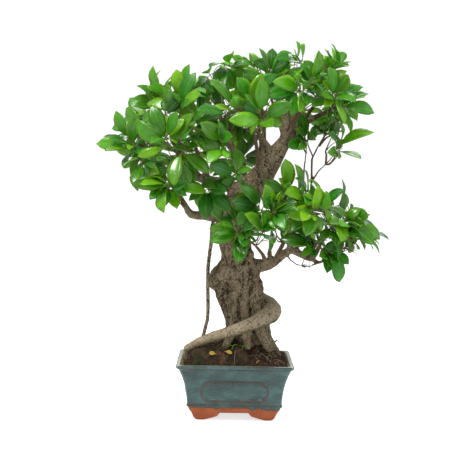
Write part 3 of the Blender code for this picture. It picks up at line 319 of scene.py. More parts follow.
def maskChannels(tree, name):
    mask = addNode(tree, "ShaderNodeAttribute", attribute_name=name)
    parts = addNode(tree, "ShaderNodeSeparateColor", {0: mask.outputs["Color"]})
    return (*parts.outputs[:3], mask.outputs["Alpha"])


def newGroup(name, inputs, outputs):
    tree = bpy.data.node_groups.new(name, "ShaderNodeTree")
    for label, kind, value in inputs:
        socket = tree.interface.new_socket(label, in_out="INPUT", socket_type=kind)
        socket.default_value = value
    for label, kind in outputs:
        tree.interface.new_socket(label, in_out="OUTPUT", socket_type=kind)
    return tree, tree.nodes.new("NodeGroupInput"), tree.nodes.new("NodeGroupOutput")


def placeGroup(tree, group, inputs):
    return addNode(tree, "ShaderNodeGroup", inputs, node_tree=group).outputs


shaderInputs = {
    "baseColour": "Base Color", "roughness": "Roughness", "normal": "Normal",
    "coat": "Coat Weight", "coatRoughness": "Coat Roughness", "subsurface": "Subsurface Weight",
    "radius": "Subsurface Radius", "subsurfaceScale": "Subsurface Scale",
    "specular": "Specular IOR Level", "sheen": "Sheen Weight", "glow": "Emission Color",
    "glowStrength": "Emission Strength",
}


def setShader(tree, shader, **values):
    setInputs(tree, shader, {shaderInputs[key]: value for key, value in values.items()})


def bump(tree, height, distance, strength=1.0):
    return addNode(tree, "ShaderNodeBump",
                   {"Height": height, "Distance": distance, "Strength": strength}).outputs[0]


# mottle: soft blotches, fine grains and speckles, shared by nearly every material
def makeMottle():
    tree, given, put = newGroup("mottle", (
        ("Place", "NodeSocketVector", (0, 0, 0)), ("Blotch Scale", "NodeSocketFloat", 40.0),
        ("Grain Scale", "NodeSocketFloat", 400.0), ("Grain Edge", "NodeSocketFloat", 0.6),
    ), (("Blotch", "NodeSocketFloat"), ("Grain", "NodeSocketFloat"), ("Speckle", "NodeSocketFloat")))
    place = given.outputs["Place"]
    blotch = noisePattern(tree, place, given.outputs["Blotch Scale"], 4.0, 0.6)
    grain = noisePattern(tree, place, given.outputs["Grain Scale"], 2.0, 0.6)
    edge = given.outputs["Grain Edge"]
    speckle = between(tree, grain, edge, compute(tree, "ADD", edge, 0.08))
    tree.links.new(between(tree, blotch, 0.3, 0.7), put.inputs["Blotch"])
    tree.links.new(grain, put.inputs["Grain"])
    tree.links.new(speckle, put.inputs["Speckle"])
    return tree


mottle = makeMottle()


def mottled(tree, place, blotchScale, grainScale, grainEdge):
    return placeGroup(tree, mottle, {"Place": place, "Blotch Scale": blotchScale,
                                     "Grain Scale": grainScale, "Grain Edge": grainEdge})


# bark

barkLook = {
    "ridge": colour(0.310, 0.250, 0.160),
    "warm": colour(0.185, 0.130, 0.074),
    # real dark fissures, and painted shade in the wood's hollows
    "crackAndShade": colour(0.030, 0.022, 0.014),
    "lichen": colour(0.520, 0.460, 0.340),
    "twig": colour(0.120, 0.068, 0.034),
    "moss": colour(0.055, 0.062, 0.018),
    "paleRootAndLight": colour(0.420, 0.340, 0.230),
    "voxel": 1.7 * mm,
    "twigTrim": 0.35 * mm,  # thin limbs are this much slimmer than their solids
    "swell": 1.7 * mm,  # height of the broad lumps
    "knobs": 1.1 * mm,
    "grooves": 1.9 * mm,  # depth of the grooves that run down the trunk
    "cracks": 0.9 * mm,
    "strands": 17, "fineTwigs": 110,
    "mottle": (55.0, 520.0, 0.58),  # blotch scale, grain scale, grain edge
}


def makeBark():
    material, tree, shader = newMaterial("bark")
    ridge, moss, thick, paleRootAndTopLight = maskChannels(tree, "barkMask")
    place = objectPlace(tree)
    pattern = mottled(tree, place, *barkLook["mottle"])
    base = mixColours(tree, pattern["Blotch"], barkLook["warm"], barkLook["ridge"])
    # pale spiral root: its own pale colour, and painted light from above on its top faces
    base = mixColours(tree, paleRootAndTopLight, base, barkLook["paleRootAndLight"])
    base = tint(tree, base, pattern["Speckle"], 0.8, barkLook["lichen"])
    dark = between(tree, noisePattern(tree, place, 260.0, 3.0), 0.38, 0.48, 0.6, 0.0)
    base = mixColours(tree, dark, base, barkLook["crackAndShade"])
    thin = between(tree, thick, 0.10, 0.30, 1.0, 0.0)
    base = tint(tree, base, thin, 0.75, barkLook["twig"])
    # the dark colour in grooves and cracks is the bark's real fissures; in the other hollows of the wood
    # it is painted shade
    deep = between(tree, ridge, 0.25, 0.55, 1.0, 0.0)
    base = tint(tree, base, deep, 0.85, barkLook["crackAndShade"])
    # moss colour: real moss on the low wood, and painted shade on the underside of the spiral root
    base = tint(tree, base, moss, 0.8, barkLook["moss"])
    fine = noisePattern(tree, place, 330.0, 5.0, 0.7)
    setShader(tree, shader, baseColour=base, roughness=between(tree, fine, 0.3, 0.7, 0.72, 0.95),
              normal=bump(tree, fine, 1.1 * mm, 0.9), specular=0.25)
    return material


spiralRoot = (
    (-77, -22, 88), (-82, -28, 105), (-82, -37, 122), (-62, -51, 137), (-36, -59, 148), (-12, -62, 156),
    (8, -60, 162), (28, -56, 169), (46, -46, 176), (60, -26, 181), (65, -2, 185), (58, 22, 191),
    (38, 38, 199), (8, 45, 209), (-20, 36, 219),
)


def nearRoute(co, points, reach):  # 1 on the route, 0 beyond the reach
    marks = np.array([list(place) for place, _ in curvedRoute([(p, 1.0) for p in points], 6)])
    nearest = np.full(len(co), 9.0)
    for mark in marks:
        nearest = np.minimum(nearest, np.linalg.norm(co - mark, axis=1))
    return 1 - ramped(nearest, reach * 0.8, reach)


def addStrands(bm):  # thin roots that have grown down the trunk and fused with it
    rng = random.Random(19)
    surface = BVHTree.FromBMesh(bm)
    for k in range(barkLook["strands"]):
        turn = rng.uniform(-1.1, 1.1) if k < 9 else rng.uniform(1.2, 5.0)
        level = rng.uniform(250, 330)
        lowest = rng.uniform(118, 150)
        radius = rng.uniform(1.5, 2.9)
        route = []
        while level > lowest:
            way = Vector((math.sin(turn), -math.cos(turn), 0))
            centre = drawn(14, 0, level)
            hit = surface.ray_cast(centre + way * 0.25, -way)
            if hit[0] is not None and (hit[0] - centre).length < 0.06:
                place = hit[0] + hit[1] * radius * 0.35 * mm
                route.append((place, radius * mm * rng.uniform(0.85, 1.15)))
            level -= 13
            turn += rng.uniform(-0.11, 0.11)
        if len(route) > 4:
            addTube(bm, curvedRoute(route, 2), 7)
    faceOut(bm)


def makeWood():
    bark = makeBark()
    bm = mergedCopy("trunk_and_branches")
    addStrands(bm)
    wood = addObject("wood", bm, [bark])
    remesh(wood, barkLook["voxel"], 4)
    tree = treeOf(wood.data)
    depth = thickness(wood.data, tree, 0.05)
    co, normals = vertexData(wood.data)
    amount = ramped(depth, 0.004, 0.034)
    spiral = nearRoute(co, [drawn(*p) for p in spiralRoot], 0.022)
    upright = (1 - spiral) * ramped(co[:, 2], 0.36, 0.30) * amount
    grooves = lumps(co, 95, 1, (1, 1, 0.16)) + 0.5 * lumps(co, 210, 2, (1, 1, 0.2))
    swell = lumps(co, 34, 3)
    knobs = lumps(co, 110, 4)
    lines = np.abs(lumps(co, 100, 5, (1, 1, 0.35)) + 0.3 * lumps(co, 300, 7))
    cracks = -(1 - ramped(lines, 0.02, 0.13)) + 0.15
    shape = (barkLook["swell"] * swell + barkLook["knobs"] * knobs) * amount
    shape += barkLook["grooves"] * (grooves * 0.8 - 0.2) * upright
    shape += barkLook["cracks"] * cracks * (0.2 + 0.8 * amount) * (1 - 0.7 * spiral)
    shape -= barkLook["twigTrim"] * (1 - amount)
    moveVertices(wood.data, co + normals * shape[:, None])
    # ridge mask: low in grooves and cracks, which are real dark fissures, and through the bend term low
    # in every hollow where limbs, strands and roots meet, which is painted shade
    bend = convexity(wood.data) / mm
    ridge = 0.55 + 0.22 * grooves * upright + 0.14 * knobs * amount
    ridge += 0.42 * cracks * amount * (1 - 0.7 * spiral) + 1.1 * np.clip(bend, -0.4, 0.4)
    # moss on the low wood, heavier on faces that point down, and moss colour on the whole underside of
    # the spiral root: partly real moss, partly painted shade under the wood
    under = ramped(-normals[:, 2], 0.1, 0.8)
    low = ramped(co[:, 2], 0.215, 0.12)
    mossAndUnderShade = ramped(lumps(co, 48, 6), -0.1, 0.45) * low * (0.35 + 0.65 * under)
    mossAndUnderShade = np.maximum(mossAndUnderShade, 0.85 * under * spiral)
    # the spiral root's own pale colour, brighter on faces that point up as painted light from above
    paleRootAndTopLight = spiral * (0.35 + 0.65 * ramped(normals[:, 2], -0.4, 0.3))
    mossAndUnderShade = softened(wood.data, mossAndUnderShade, 2)
    setMask(wood.data, "barkMask", ridge, mossAndUnderShade, ramped(depth, 0.0, 0.03), paleRootAndTopLight * 0.75)
    finishPiece(wood, "bark", "trunk_and_branches")
    print("wood", len(wood.data.polygons), "faces")
    return tree, bark


def makeAerialRoot():
    root = addObject("aerial_root_bark", mergedCopy("aerial_root"), [bark])
    remesh(root, 0.9 * mm, 5)
    co, normals = vertexData(root.data)
    knobs = lumps(co, 150, 8)
    cracks = -(1 - ramped(np.abs(lumps(co, 200, 9, (1, 1, 0.5))), 0.02, 0.15)) + 0.15
    moveVertices(root.data, co + normals * (0.45 * mm * knobs + 0.35 * mm * cracks)[:, None])
    setMask(root.data, "barkMask", 0.5 + 0.4 * cracks + 0.2 * knobs, 0, 0.35, 0.35)
    finishPiece(root, "root_bark", "aerial_root")


def makeFineTwigs():  # thin twigs that fill the heart of the crown
    rng = random.Random(303)
    ends = []
    for name in nodesNamed("spray_"):
        low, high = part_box(name)
        ends.append((low + high) / 2)
    bm = bmesh.new()
    for _ in range(barkLook["fineTwigs"]):
        end = rng.choice(ends) + jitter(rng, 18) * mm
        found = woodTree.find_nearest(end + Vector((0, 0, -0.045)))
        start = found[0] - found[1] * mm
        end = end.lerp(start, 0.12)
        span = (end - start).length
        if span < 0.03 or span > 0.16:
            continue
        thick = min(0.9 + span * 11, 2.4) * mm
        middle = start.lerp(end, 0.45) + jitter(rng, 0.16) * span
        first = start.lerp(middle, 0.4) + found[1] * 0.1 * span
        points = [(start, thick * 1.25), (first, thick), (middle, thick * 0.72), (end, 0.5 * mm)]
        addTube(bm, curvedRoute(points, 4), 6)
        for _ in range(rng.choice((1, 2, 2))):
            share = rng.uniform(0.3, 0.8)
            root = middle.lerp(end, share) if share > 0.5 else first.lerp(middle, share * 2)
            way = (end - start).normalized() + jitter(rng, 0.9)
            tip = root + way.normalized() * rng.uniform(0.014, 0.034)
            bend = root.lerp(tip, 0.5) + up * rng.uniform(0, 5) * mm
            points = [(root, thick * 0.6), (bend, thick * 0.42), (tip, 0.4 * mm)]
            addTube(bm, curvedRoute(points, 3), 5)
    faceOut(bm)
    twigs = addObject("fine_twigs", bm, [bark])
    setMask(twigs.data, "barkMask", 0.6, 0, 0.2, 0.2)
    finishPiece(twigs, "bark")


woodTree, bark = makeWood()
makeAerialRoot()
makeFineTwigs()


# leaves and twigs

leafLook = {
    "old": colour(0.009, 0.066, 0.004),
    "middle": colour(0.032, 0.190, 0.004),
    "young": colour(0.150, 0.460, 0.006),
    "under": colour(0.150, 0.300, 0.055),
    "rib": colour(0.230, 0.430, 0.060),
    "petiole": colour(0.260, 0.340, 0.070),
    "twigGreen": colour(0.140, 0.150, 0.055),
    "twigBrown": colour(0.110, 0.070, 0.036),
    "slimness": 0.50,  # half width over the CAD leaf's width at its first station
    "heartPaintedShade": 0.35,  # painted shade: how dark leaves are made at the heart of the crown
    "companions": 0.75,  # how often a leaf has a smaller one beside it
    "petioleShare": 0.15,
    "petioleRadius": 0.75 * mm,
    "sheet": 0.2 * mm,  # half of the blade's thickness
    "shares": (0.38, 0.70),  # where the CAD leaf's two stations lie between foot and tip
    "mottle": (130.0, 900.0, 0.6),
    "hearts": (((-0.03, 0.01, 0.475), (0.20, 0.15, 0.125)),  # middle and reach of each mass of foliage, whose heart gets painted shade
               ((0.10, 0.0, 0.335), (0.145, 0.12, 0.09))),
    "tipLength": 8 * mm,  # a tip edge of the CAD leaf is longer than this, a bud's is shorter
    "outline": ((0.0, 0.05), (0.09, 0.40), (0.24, 0.76), (0.42, 0.96), (0.58, 1.0), (0.73, 0.88),
                (0.86, 0.61), (0.94, 0.27), (1.0, 0.03)),
}


def makeVeins():
    tree, given, put = newGroup("leafVeins", (
        ("Along", "NodeSocketFloat", 0.0), ("Across", "NodeSocketFloat", 0.0),
    ), (("Rib", "NodeSocketFloat"), ("Vein", "NodeSocketFloat")))
    along, across = given.outputs["Along"], given.outputs["Across"]
    rib = between(tree, across, 0.035, 0.085, 1.0, 0.0)
    slant = compute(tree, "SUBTRACT", along, times(tree, across, 0.16))
    wave = compute(tree, "SINE", times(tree, slant, 75.0))
    vein = between(tree, wave, 0.75, 1.0)
    vein = times(tree, vein, between(tree, across, 0.75, 1.0, 1.0, 0.0))
    tree.links.new(rib, put.inputs["Rib"])
    tree.links.new(vein, put.inputs["Vein"])
    return tree


def makeLeafMaterials():
    veins = makeVeins()
    made = []
    for name, underside in (("leaf_top", False), ("leaf_under", True)):
        material, tree, shader = newMaterial(name)
        youth, chance, along, across = maskChannels(tree, "leafMask")
        lines = placeGroup(tree, veins, {"Along": along, "Across": across})
        blotch = noisePattern(tree, objectPlace(tree), 90.0, 2.0)
        base = mixColours(tree, between(tree, youth, 0.0, 0.5), leafLook["old"], leafLook["middle"])
        base = mixColours(tree, between(tree, youth, 0.45, 1.0), base, leafLook["young"])
        shade = between(tree, blotch, 0.3, 0.7, 0.85, 1.12)
        hue = between(tree, chance, 0.0, 1.0, 0.487, 0.512)
        base = addNode(tree, "ShaderNodeHueSaturation",
                       {"Hue": hue, "Value": shade, "Color": base}).outputs[0]
        if underside:
            base = mixColours(tree, 0.62, base, leafLook["under"])
        base = tint(tree, base, lines["Vein"], 0.09, leafLook["rib"])
        base = tint(tree, base, lines["Rib"], 0.45 if underside else 0.26, leafLook["rib"])
        height = compute(tree, "SUBTRACT", times(tree, blotch, 0.3), lines["Vein"])
        # painted shade: leaves deep in either mass of foliage are darkened
        heart = addNode(tree, "ShaderNodeAttribute", attribute_name="heart").outputs["Fac"]
        inside = between(tree, heart, 0.0, 1.0, 1.0, leafLook["heartPaintedShade"])
        paintedShade = addNode(tree, "ShaderNodeCombineColor", {0: inside, 1: inside, 2: inside}).outputs[0]
        base = mixColours(tree, 1.0, base, paintedShade, "MULTIPLY")
        rough = between(tree, chance, 0.0, 1.0, 0.22, 0.38)
        setShader(tree, shader, baseColour=base, roughness=0.55 if underside else rough,
                  normal=bump(tree, height, 0.12 * mm, 0.5), subsurface=0.35,
                  radius=(0.4, 1.0, 0.1), subsurfaceScale=0.004,
                  specular=0.35 if underside else 0.55)
        made.append(material)
    return made


def makeTwigMaterial():
    material, tree, shader = newMaterial("green_twig")
    youth = maskChannels(tree, "leafMask")[0]
    pattern = mottled(tree, objectPlace(tree), *leafLook["mottle"])
    wood = mixColours(tree, pattern["Blotch"], leafLook["twigBrown"], leafLook["twigGreen"])
    base = mixColours(tree, youth, wood, leafLook["petiole"])
    base = tint(tree, base, pattern["Speckle"], 0.3, barkLook["lichen"])
    setShader(tree, shader, baseColour=base, roughness=0.55, specular=0.35,
              normal=bump(tree, pattern["Grain"], 0.3 * mm, 0.6))
    return material


def makeBladeTemplate():  # x across, y along, z which sheet: a closed lens of two sheets
    bm = bmesh.new()
    rows = len(leafLook["outline"]) - 1
    bmesh.ops.create_grid(bm, x_segments=4, y_segments=rows, size=1)
    for vert in bm.verts:
        vert.co.y = leafLook["outline"][round((vert.co.y + 1) / 2 * rows)][0]
        vert.co.z = 1
    copied = bmesh.ops.duplicate(bm, geom=bm.faces[:])["geom"]
    under = [item for item in copied if isinstance(item, bmesh.types.BMFace)]
    for vert in {vert for face in under for vert in face.verts}:
        vert.co.z = -1
    bmesh.ops.reverse_faces(bm, faces=under)
    for face in under:
        face.material_index = 1
    for vert in bm.verts:
        if abs(vert.co.x) > 0.99 or vert.co.y < 0.001 or vert.co.y > 0.999:
            vert.co.z = 0
    bmesh.ops.remove_doubles(bm, verts=bm.verts[:], dist=0.001)
    return meshFrom("blade", bm)


def makeStalkTemplate():  # a five-sided tube from y 0 to y 1, cut in four lengths
    bm = bmesh.new()
    lie = Matrix.Translation((0, 0.5, 0)) @ Matrix.Rotation(-math.pi / 2, 4, "X")
    bmesh.ops.create_cone(bm, cap_ends=True, segments=5, radius1=1, radius2=1, depth=1, matrix=lie)
    for share in (0.3, 0.6, 0.85):
        geom = bm.verts[:] + bm.edges[:] + bm.faces[:]
        bmesh.ops.bisect_plane(bm, geom=geom, plane_co=(0, share, 0), plane_no=(0, 1, 0))
    for face in bm.faces:
        face.material_index = 2
    return meshFrom("petiole", bm)


class Leaf:
    # a blade's middle line through four stations, its width and the way that it faces

    def __init__(self, base, stations, tip, halfWidth, rng):
        self.points = [base, stations[0][0], stations[1][0], tip]
        self.sides = [stations[0][1], stations[1][1]]
        self.normals = [stations[0][2], stations[1][2]]
        self.halfWidth = halfWidth
        self.length = (tip - base).length
        self.fold = rng.uniform(0.10, 0.34)
        self.droop = rng.uniform(-0.02, 0.16)
        self.sweep = rng.uniform(-0.05, 0.05)
        self.wave = rng.uniform(0, 0.06)
        self.phase = rng.uniform(0, 6.28)
        self.twist = rng.uniform(-0.25, 0.25)

    def frameAt(self, v):
        first, second = leafLook["shares"]
        stops = (0.0, first, second, 1.0)
        place = Vector()
        for i, point in enumerate(self.points):
            weight = 1.0
            for j, stop in enumerate(stops):
                if j != i:
                    weight *= (v - stop) / (stops[i] - stop)
            place += point * weight
        t = min(max((v - first) / (second - first), 0), 1)
        side = self.sides[0].lerp(self.sides[1], t).normalized()
        normal = self.normals[0].lerp(self.normals[1], t).normalized()
        bend = max(v - 0.55, 0)
        place += side * (self.sweep * self.length * math.sin(math.pi * v))
        place -= normal * (self.droop * self.length * bend * bend * 4)
        turn = Matrix.Rotation(self.twist * (v - 0.3), 3, side.cross(normal))
        return place, turn @ side, turn @ normal

    def bladePoint(self, u, t, sheet):
        share = leafLook["petioleShare"]
        place, side, normal = self.frameAt(share + (1 - share) * t)
        width = self.halfWidth * np.interp(t, *zip(*leafLook["outline"]))
        ripple = math.sin(t * 14 + self.phase + (1.5 if u > 0 else 0)) * self.wave
        rise = self.fold * abs(u) - 0.16 * u * u * self.fold + ripple * u * u
        groove = -0.35 * mm if abs(u) < 0.1 and 0 < t < 1 else 0
        if sheet < 0 and groove:
            groove = -0.55 * mm * (1 - t)
        height = rise * width + sheet * leafLook["sheet"] + groove
        return place + side * (u * width) + normal * height

    def stalkPoint(self, x, y, z):
        share = leafLook["petioleShare"] + 0.05
        place, side, normal = self.frameAt(share * y)
        radius = leafLook["petioleRadius"] * (1.15 - 0.4 * y)
        return place + (side * x + normal * z) * radius - normal * (0.3 * mm * y)


def stationOf(ring):  # of three points, the two furthest apart are the edges, the third the keel
    pairs = [(0, 1, 2), (0, 2, 1), (1, 2, 0)]
    a, b, keel = max(pairs, key=lambda p: (ring[p[0]] - ring[p[1]]).length)
    return ring[a], ring[b], ring[keel]


def findLeaves(bm):  # reads each leaf's rings back from a merged CAD spray
    found = []
    for tip in bm.verts:
        if len(tip.link_edges) != 3:
            continue
        if min(edge.calc_length() for edge in tip.link_edges) < leafLook["tipLength"]:
            continue
        outer = {edge.other_vert(tip) for edge in tip.link_edges}
        inner = {e.other_vert(v) for v in outer for e in v.link_edges} - outer - {tip}
        if len(inner) != 3:
            continue
        base = {e.other_vert(v) for v in inner for e in v.link_edges} - outer - inner
        if len(base) != 3:
            continue
        found.append((tip, outer, inner, base))
    return found


def leafFrom(tip, outer, inner, base, rng):
    foot = sum((v.co for v in base), Vector()) / 3
    a1, b1, keel1 = stationOf([v.co.copy() for v in inner])
    a2, b2, keel2 = stationOf([v.co.copy() for v in outer])
    axis = (tip.co - foot).normalized()
    stations = []
    width = (a1 - b1).length * leafLook["slimness"]
    firstSide = None
    for a, b, keel in ((a1, b1, keel1), (a2, b2, keel2)):
        side = (a - b).normalized()
        normal = (a + b) / 2 - keel
        normal = (normal - side * normal.dot(side)).normalized()
        if side.cross(normal).dot(axis) > 0:
            side = -side
        if firstSide is not None and side.dot(firstSide) < 0:
            side = -side
        firstSide = side
        stations.append((keel + normal * (0.4 * mm), side, normal))
    return Leaf(foot, stations, tip.co.copy(), width, rng)


def simpleLeaf(base, way, facing, length, halfWidth, rng):
    side = way.cross(facing).normalized()
    normal = side.cross(way).normalized()
    stations = []
    for share in leafLook["shares"]:
        place = base + way * (length * share) + normal * (0.1 * length * share * (1 - share) * 4)
        stations.append((place, side, normal))
    return Leaf(base, stations, base + way * length, halfWidth, rng)


def companionOf(leaf, rng):  # a smaller leaf from the same joint, turned aside
    base = leaf.points[0]
    axis = (leaf.points[3] - base).normalized()
    normal = leaf.normals[0]
    swing = rng.choice((-1, 1)) * rng.uniform(0.55, 1.25)
    way = Matrix.Rotation(swing, 3, normal) @ axis
    way = (way + normal * rng.uniform(-0.5, 0.45)).normalized()
    length = leaf.length * rng.uniform(0.5, 0.78)
    halfWidth = leaf.halfWidth * rng.uniform(0.5, 0.72)
    return simpleLeaf(base, way, (normal + up * 0.4).normalized(), length, halfWidth, rng)


def addFromTemplate(bm, template, place, layer, mask):
    start = len(bm.verts)
    bm.from_mesh(template)
    bm.verts.ensure_lookup_table()
    for vert in bm.verts[start:]:
        x, y, z = vert.co
        vert[layer] = mask(x, y, z)
        vert.co = place(x, y, z)


def addLeaf(bm, leaf, layer, youth, chance):
    addFromTemplate(bm, bladeTemplate, leaf.bladePoint, layer,
                    lambda u, t, sheet: (youth, chance, t, abs(u)))
    addFromTemplate(bm, stalkTemplate, leaf.stalkPoint, layer,
                    lambda x, y, z: (0.55 + 0.45 * y, chance, 0, 1))


def twigSkin(bm, leaves, tree):  # the spray's twigs as a smooth skin, run on into the limb
    blades = {v for tip, outer, inner, _ in leaves for v in (tip, *outer, *inner)}
    bmesh.ops.delete(bm, geom=list(blades), context="VERTS")
    bmesh.ops.holes_fill(bm, edges=openEdges(bm), sides=4)
    faceOut(bm)

    def distance(face):  # how far the face is from the wood, with small faces put first
        away = tree.find_nearest(face.calc_center_median())[3]
        return away + 0.02 * max(edge.calc_length() for edge in face.edges)

    foot = min(bm.faces, key=distance)
    way = foot.normal.copy()
    foot = bmesh.ops.extrude_discrete_faces(bm, faces=[foot])["faces"][0]
    bmesh.ops.translate(bm, verts=list(foot.verts), vec=way * 4 * mm)
    bmesh.ops.join_triangles(bm, faces=bm.faces[:], angle_face_threshold=0.7, angle_shape_threshold=1.5)
    skin = addObject("twigs", bm)
    soft = skin.modifiers.new("round", "SUBSURF")
    soft.levels = 2
    soft.render_levels = 2
    applyModifiers(skin)
    mesh = skin.data
    bpy.data.objects.remove(skin)
    return mesh


bladeTemplate = makeBladeTemplate()
stalkTemplate = makeStalkTemplate()
leafTop, leafUnder = makeLeafMaterials()
greenTwig = makeTwigMaterial()


def paintShadeInHeart(mesh):  # marks the leaves that sit deep in either mass of foliage, for the painted shade there
    local = vertexData(mesh)[0] - np.array(potMiddle)
    deep = np.zeros(len(local))
    for middle, reach in leafLook["hearts"]:
        away = np.sqrt((((local - middle) / reach)**2).sum(1))
        deep = np.maximum(deep, 1 - ramped(away, 0.35, 1.0))
    layer = mesh.attributes.new("heart", "FLOAT", "POINT")
    layer.data.foreach_set("value", deep)


def makeSprays():
    total = 0
    for name in nodesNamed("spray_"):
        rng = random.Random(name)
        source = mergedCopy(name)
        leaves = findLeaves(source)
        shapes = [leafFrom(*leaf, rng) for leaf in leaves]
        twigs = twigSkin(source, leaves, woodTree)
        bm, layer = maskedMesh("leafMask")
        bm.from_mesh(twigs)
        for vert in bm.verts:
            vert[layer] = (0.15, 0.5, 0, 1)
        for face in bm.faces:
            face.material_index = 2
        mood = rng.uniform(-0.12, 0.16)
        for leaf in shapes:
            # younger and brighter leaves higher up: partly real new growth at the top, partly painted
            # light on the upper crown
            height = (leaf.points[3].z - 0.25) / 0.4
            youth = min(max(rng.betavariate(2.0, 2.2) + mood + 0.12 * (height - 0.5), 0), 1)
            addLeaf(bm, leaf, layer, youth, rng.random())
            if rng.random() < leafLook["companions"]:
                second = companionOf(leaf, rng)
                addLeaf(bm, second, layer, min(youth + rng.uniform(-0.1, 0.3), 1), rng.random())
                total += 1
        total += len(shapes)
        obj = addObject(name.replace("spray", "leaves"), bm, [leafTop, leafUnder, greenTwig])
        paintShadeInHeart(obj.data)
        finishPiece(obj, "leaf", name)
    print("leaves", total)


makeSprays()


# glazed pot

potLook = {
    "footHalf": 80.6 * mm, "neckHalf": 96.0 * mm, "inset": 25.0 * mm,
    "glazeFoot": 25.0 * mm, "flange": 1.6 * mm, "flangeHeight": 4.5 * mm,
    "lip": 7.0 * mm, "wall": 7.0 * mm, "floor": 31.0 * mm, "corner": 8.0 * mm,
    "panelLength": 119 * mm, "panelHeight": 37 * mm, "panelRise": 10 * mm,
    "panelLine": 4.2 * mm, "panelRaise": 2.4 * mm, "voxel": 1.25 * mm,
    "teal": colour(0.024, 0.082, 0.082), "paleTeal": colour(0.062, 0.165, 0.150),
    "deep": colour(0.010, 0.028, 0.030), "brown": colour(0.060, 0.034, 0.022),
    "celadon": colour(0.520, 0.560, 0.430), "clay": colour(0.520, 0.150, 0.062),
    "clayDark": colour(0.300, 0.075, 0.032), "clayEdge": colour(0.70, 0.30, 0.16),
    "glazeMottle": (45.0, 330.0, 0.60), "clayMottle": (60.0, 900.0, 0.63),
    "rimMask": 2.4 * mm,  # how far in from the rim's edge the pale inside starts
    "drainRadius": 9 * mm, "drainPlace": 40,  # mm from the middle, to either side
}


foot, lipTop = potLook["glazeFoot"], potHigh.z
neck = lipTop - potLook["lip"]
rimHalf = potHigh.x - potMiddle.x
footHalf, inset = potLook["footHalf"], potLook["inset"]
panelMiddle = foot + potLook["panelRise"] + potLook["panelHeight"] / 2


def wallHalf(z):  # half the wall's length at a height
    rise = min(max((z - foot) / (neck - foot), 0), 1)
    return footHalf + (potLook["neckHalf"] - footHalf) * (0.28 * rise + 0.72 * rise**2.6)


def roundedRing(halfX, z, corner, across=22, deep=16, arc=6):
    halfY = halfX - inset
    corner = min(corner, halfX - mm, halfY - mm)
    ring = []
    for k, (sx, sy) in enumerate(((1, 1), (-1, 1), (-1, -1), (1, -1))):
        for step in range(arc):
            turn = math.pi / 2 * (k + step / (arc - 1))
            ring.append((sx * (halfX - corner) + corner * math.cos(turn),
                         sy * (halfY - corner) + corner * math.sin(turn)))
        flat = across if k % 2 == 0 else deep
        x0, y0 = ring[-1]
        x1, y1 = (-x0, y0) if k % 2 == 0 else (x0, -y0)
        for step in range(1, flat):
            ring.append((x0 + (x1 - x0) * step / flat, y0 + (y1 - y0) * step / flat))
    return [potMiddle + Vector((x, y, z)) for x, y in ring]


def loft(bm, rings):  # a closed skin over rings with the same number of points
    verts = bmesh.ops.create_circle(bm, segments=len(rings[0]), radius=1, cap_ends=True)["verts"]
    for vert, place in zip(verts, rings[0]):
        vert.co = place
    face = verts[0].link_faces[0]
    previous = rings[0]
    for ring in rings[1:]:
        face = bmesh.ops.extrude_discrete_faces(bm, faces=[face])["faces"][0]
        corners = [loop.vert for loop in face.loops]
        shift = min(range(len(ring)), key=lambda s: (corners[0].co - previous[s]).length)
        forward = (corners[1].co - previous[(shift + 1) % len(ring)]).length
        backward = (corners[1].co - previous[shift - 1]).length
        step = 1 if forward <= backward else -1
        for k, vert in enumerate(corners):
            vert.co = ring[(shift + step * k) % len(ring)]
        previous = ring
    bmesh.ops.holes_fill(bm, edges=openEdges(bm), sides=0)


def panelBand(bm, front, angle):  # the raised line round the long oval panel
    half = potLook["panelHeight"] / 2 - potLook["panelLine"] / 2
    straight = (potLook["panelLength"] - potLook["panelHeight"]) / 2
    if not front:
        straight = max(straight - inset, 2 * mm)
    turnAll = Matrix.Rotation(angle, 3, "Z")
    route = []
    for k in range(72):
        turn = 2 * math.pi * (k + 0.5) / 72
        x = math.copysign(straight, math.cos(turn)) + half * math.cos(turn)
        z = panelMiddle + half * math.sin(turn)
        out = wallHalf(z) - (inset if front else 0)
        route.append(potMiddle + turnAll @ Vector((x, -out, z)))
    count = len(route)
    edges = []
    for k, place in enumerate(route):
        along = (route[(k + 1) % count] - route[k - 1]).normalized()
        outward = turnAll @ Vector((0, -1, 0))
        across = along.cross(outward)
        ring = bmesh.ops.create_circle(bm, segments=8, radius=1, cap_ends=False)["verts"]
        for i, vert in enumerate(ring):
            turn = 2 * math.pi * i / 8
            vert.co = place + across * (math.cos(turn) * potLook["panelLine"] / 2)
            vert.co += outward * (math.sin(turn) * potLook["panelRaise"])
        edges.append(list({edge for vert in ring for edge in vert.link_edges}))
    for k in range(count):
        bmesh.ops.bridge_loops(bm, edges=edges[k - 1] + edges[k])


def makeGlaze():
    material, tree, shader = newMaterial("teal_glaze")
    edge, hollow, inside, streak = maskChannels(tree, "glazeMask")
    place = objectPlace(tree, (1, 1, 1.8))
    pattern = mottled(tree, place, *potLook["glazeMottle"])
    base = mixColours(tree, pattern["Blotch"], potLook["teal"], potLook["paleTeal"])
    cloud = between(tree, noisePattern(tree, place, 17.0, 3.0), 0.35, 0.65)
    base = tint(tree, base, cloud, 0.55, potLook["deep"])
    base = tint(tree, base, pattern["Speckle"], 0.5, potLook["deep"])
    base = tint(tree, base, hollow, 0.6, potLook["deep"])
    base = mixColours(tree, inside, base, potLook["celadon"])
    broken = between(tree, pattern["Grain"], 0.25, 0.6, 0.6, 1.0)
    base = tint(tree, base, edge, broken, potLook["brown"])
    base = tint(tree, base, streak, 0.55, potLook["brown"])
    setShader(tree, shader, baseColour=base,
              roughness=between(tree, pattern["Blotch"], 0.0, 1.0, 0.16, 0.34),
              coat=0.5, coatRoughness=0.12, specular=0.6,
              normal=bump(tree, pattern["Grain"], 0.25 * mm, 0.35))
    return material


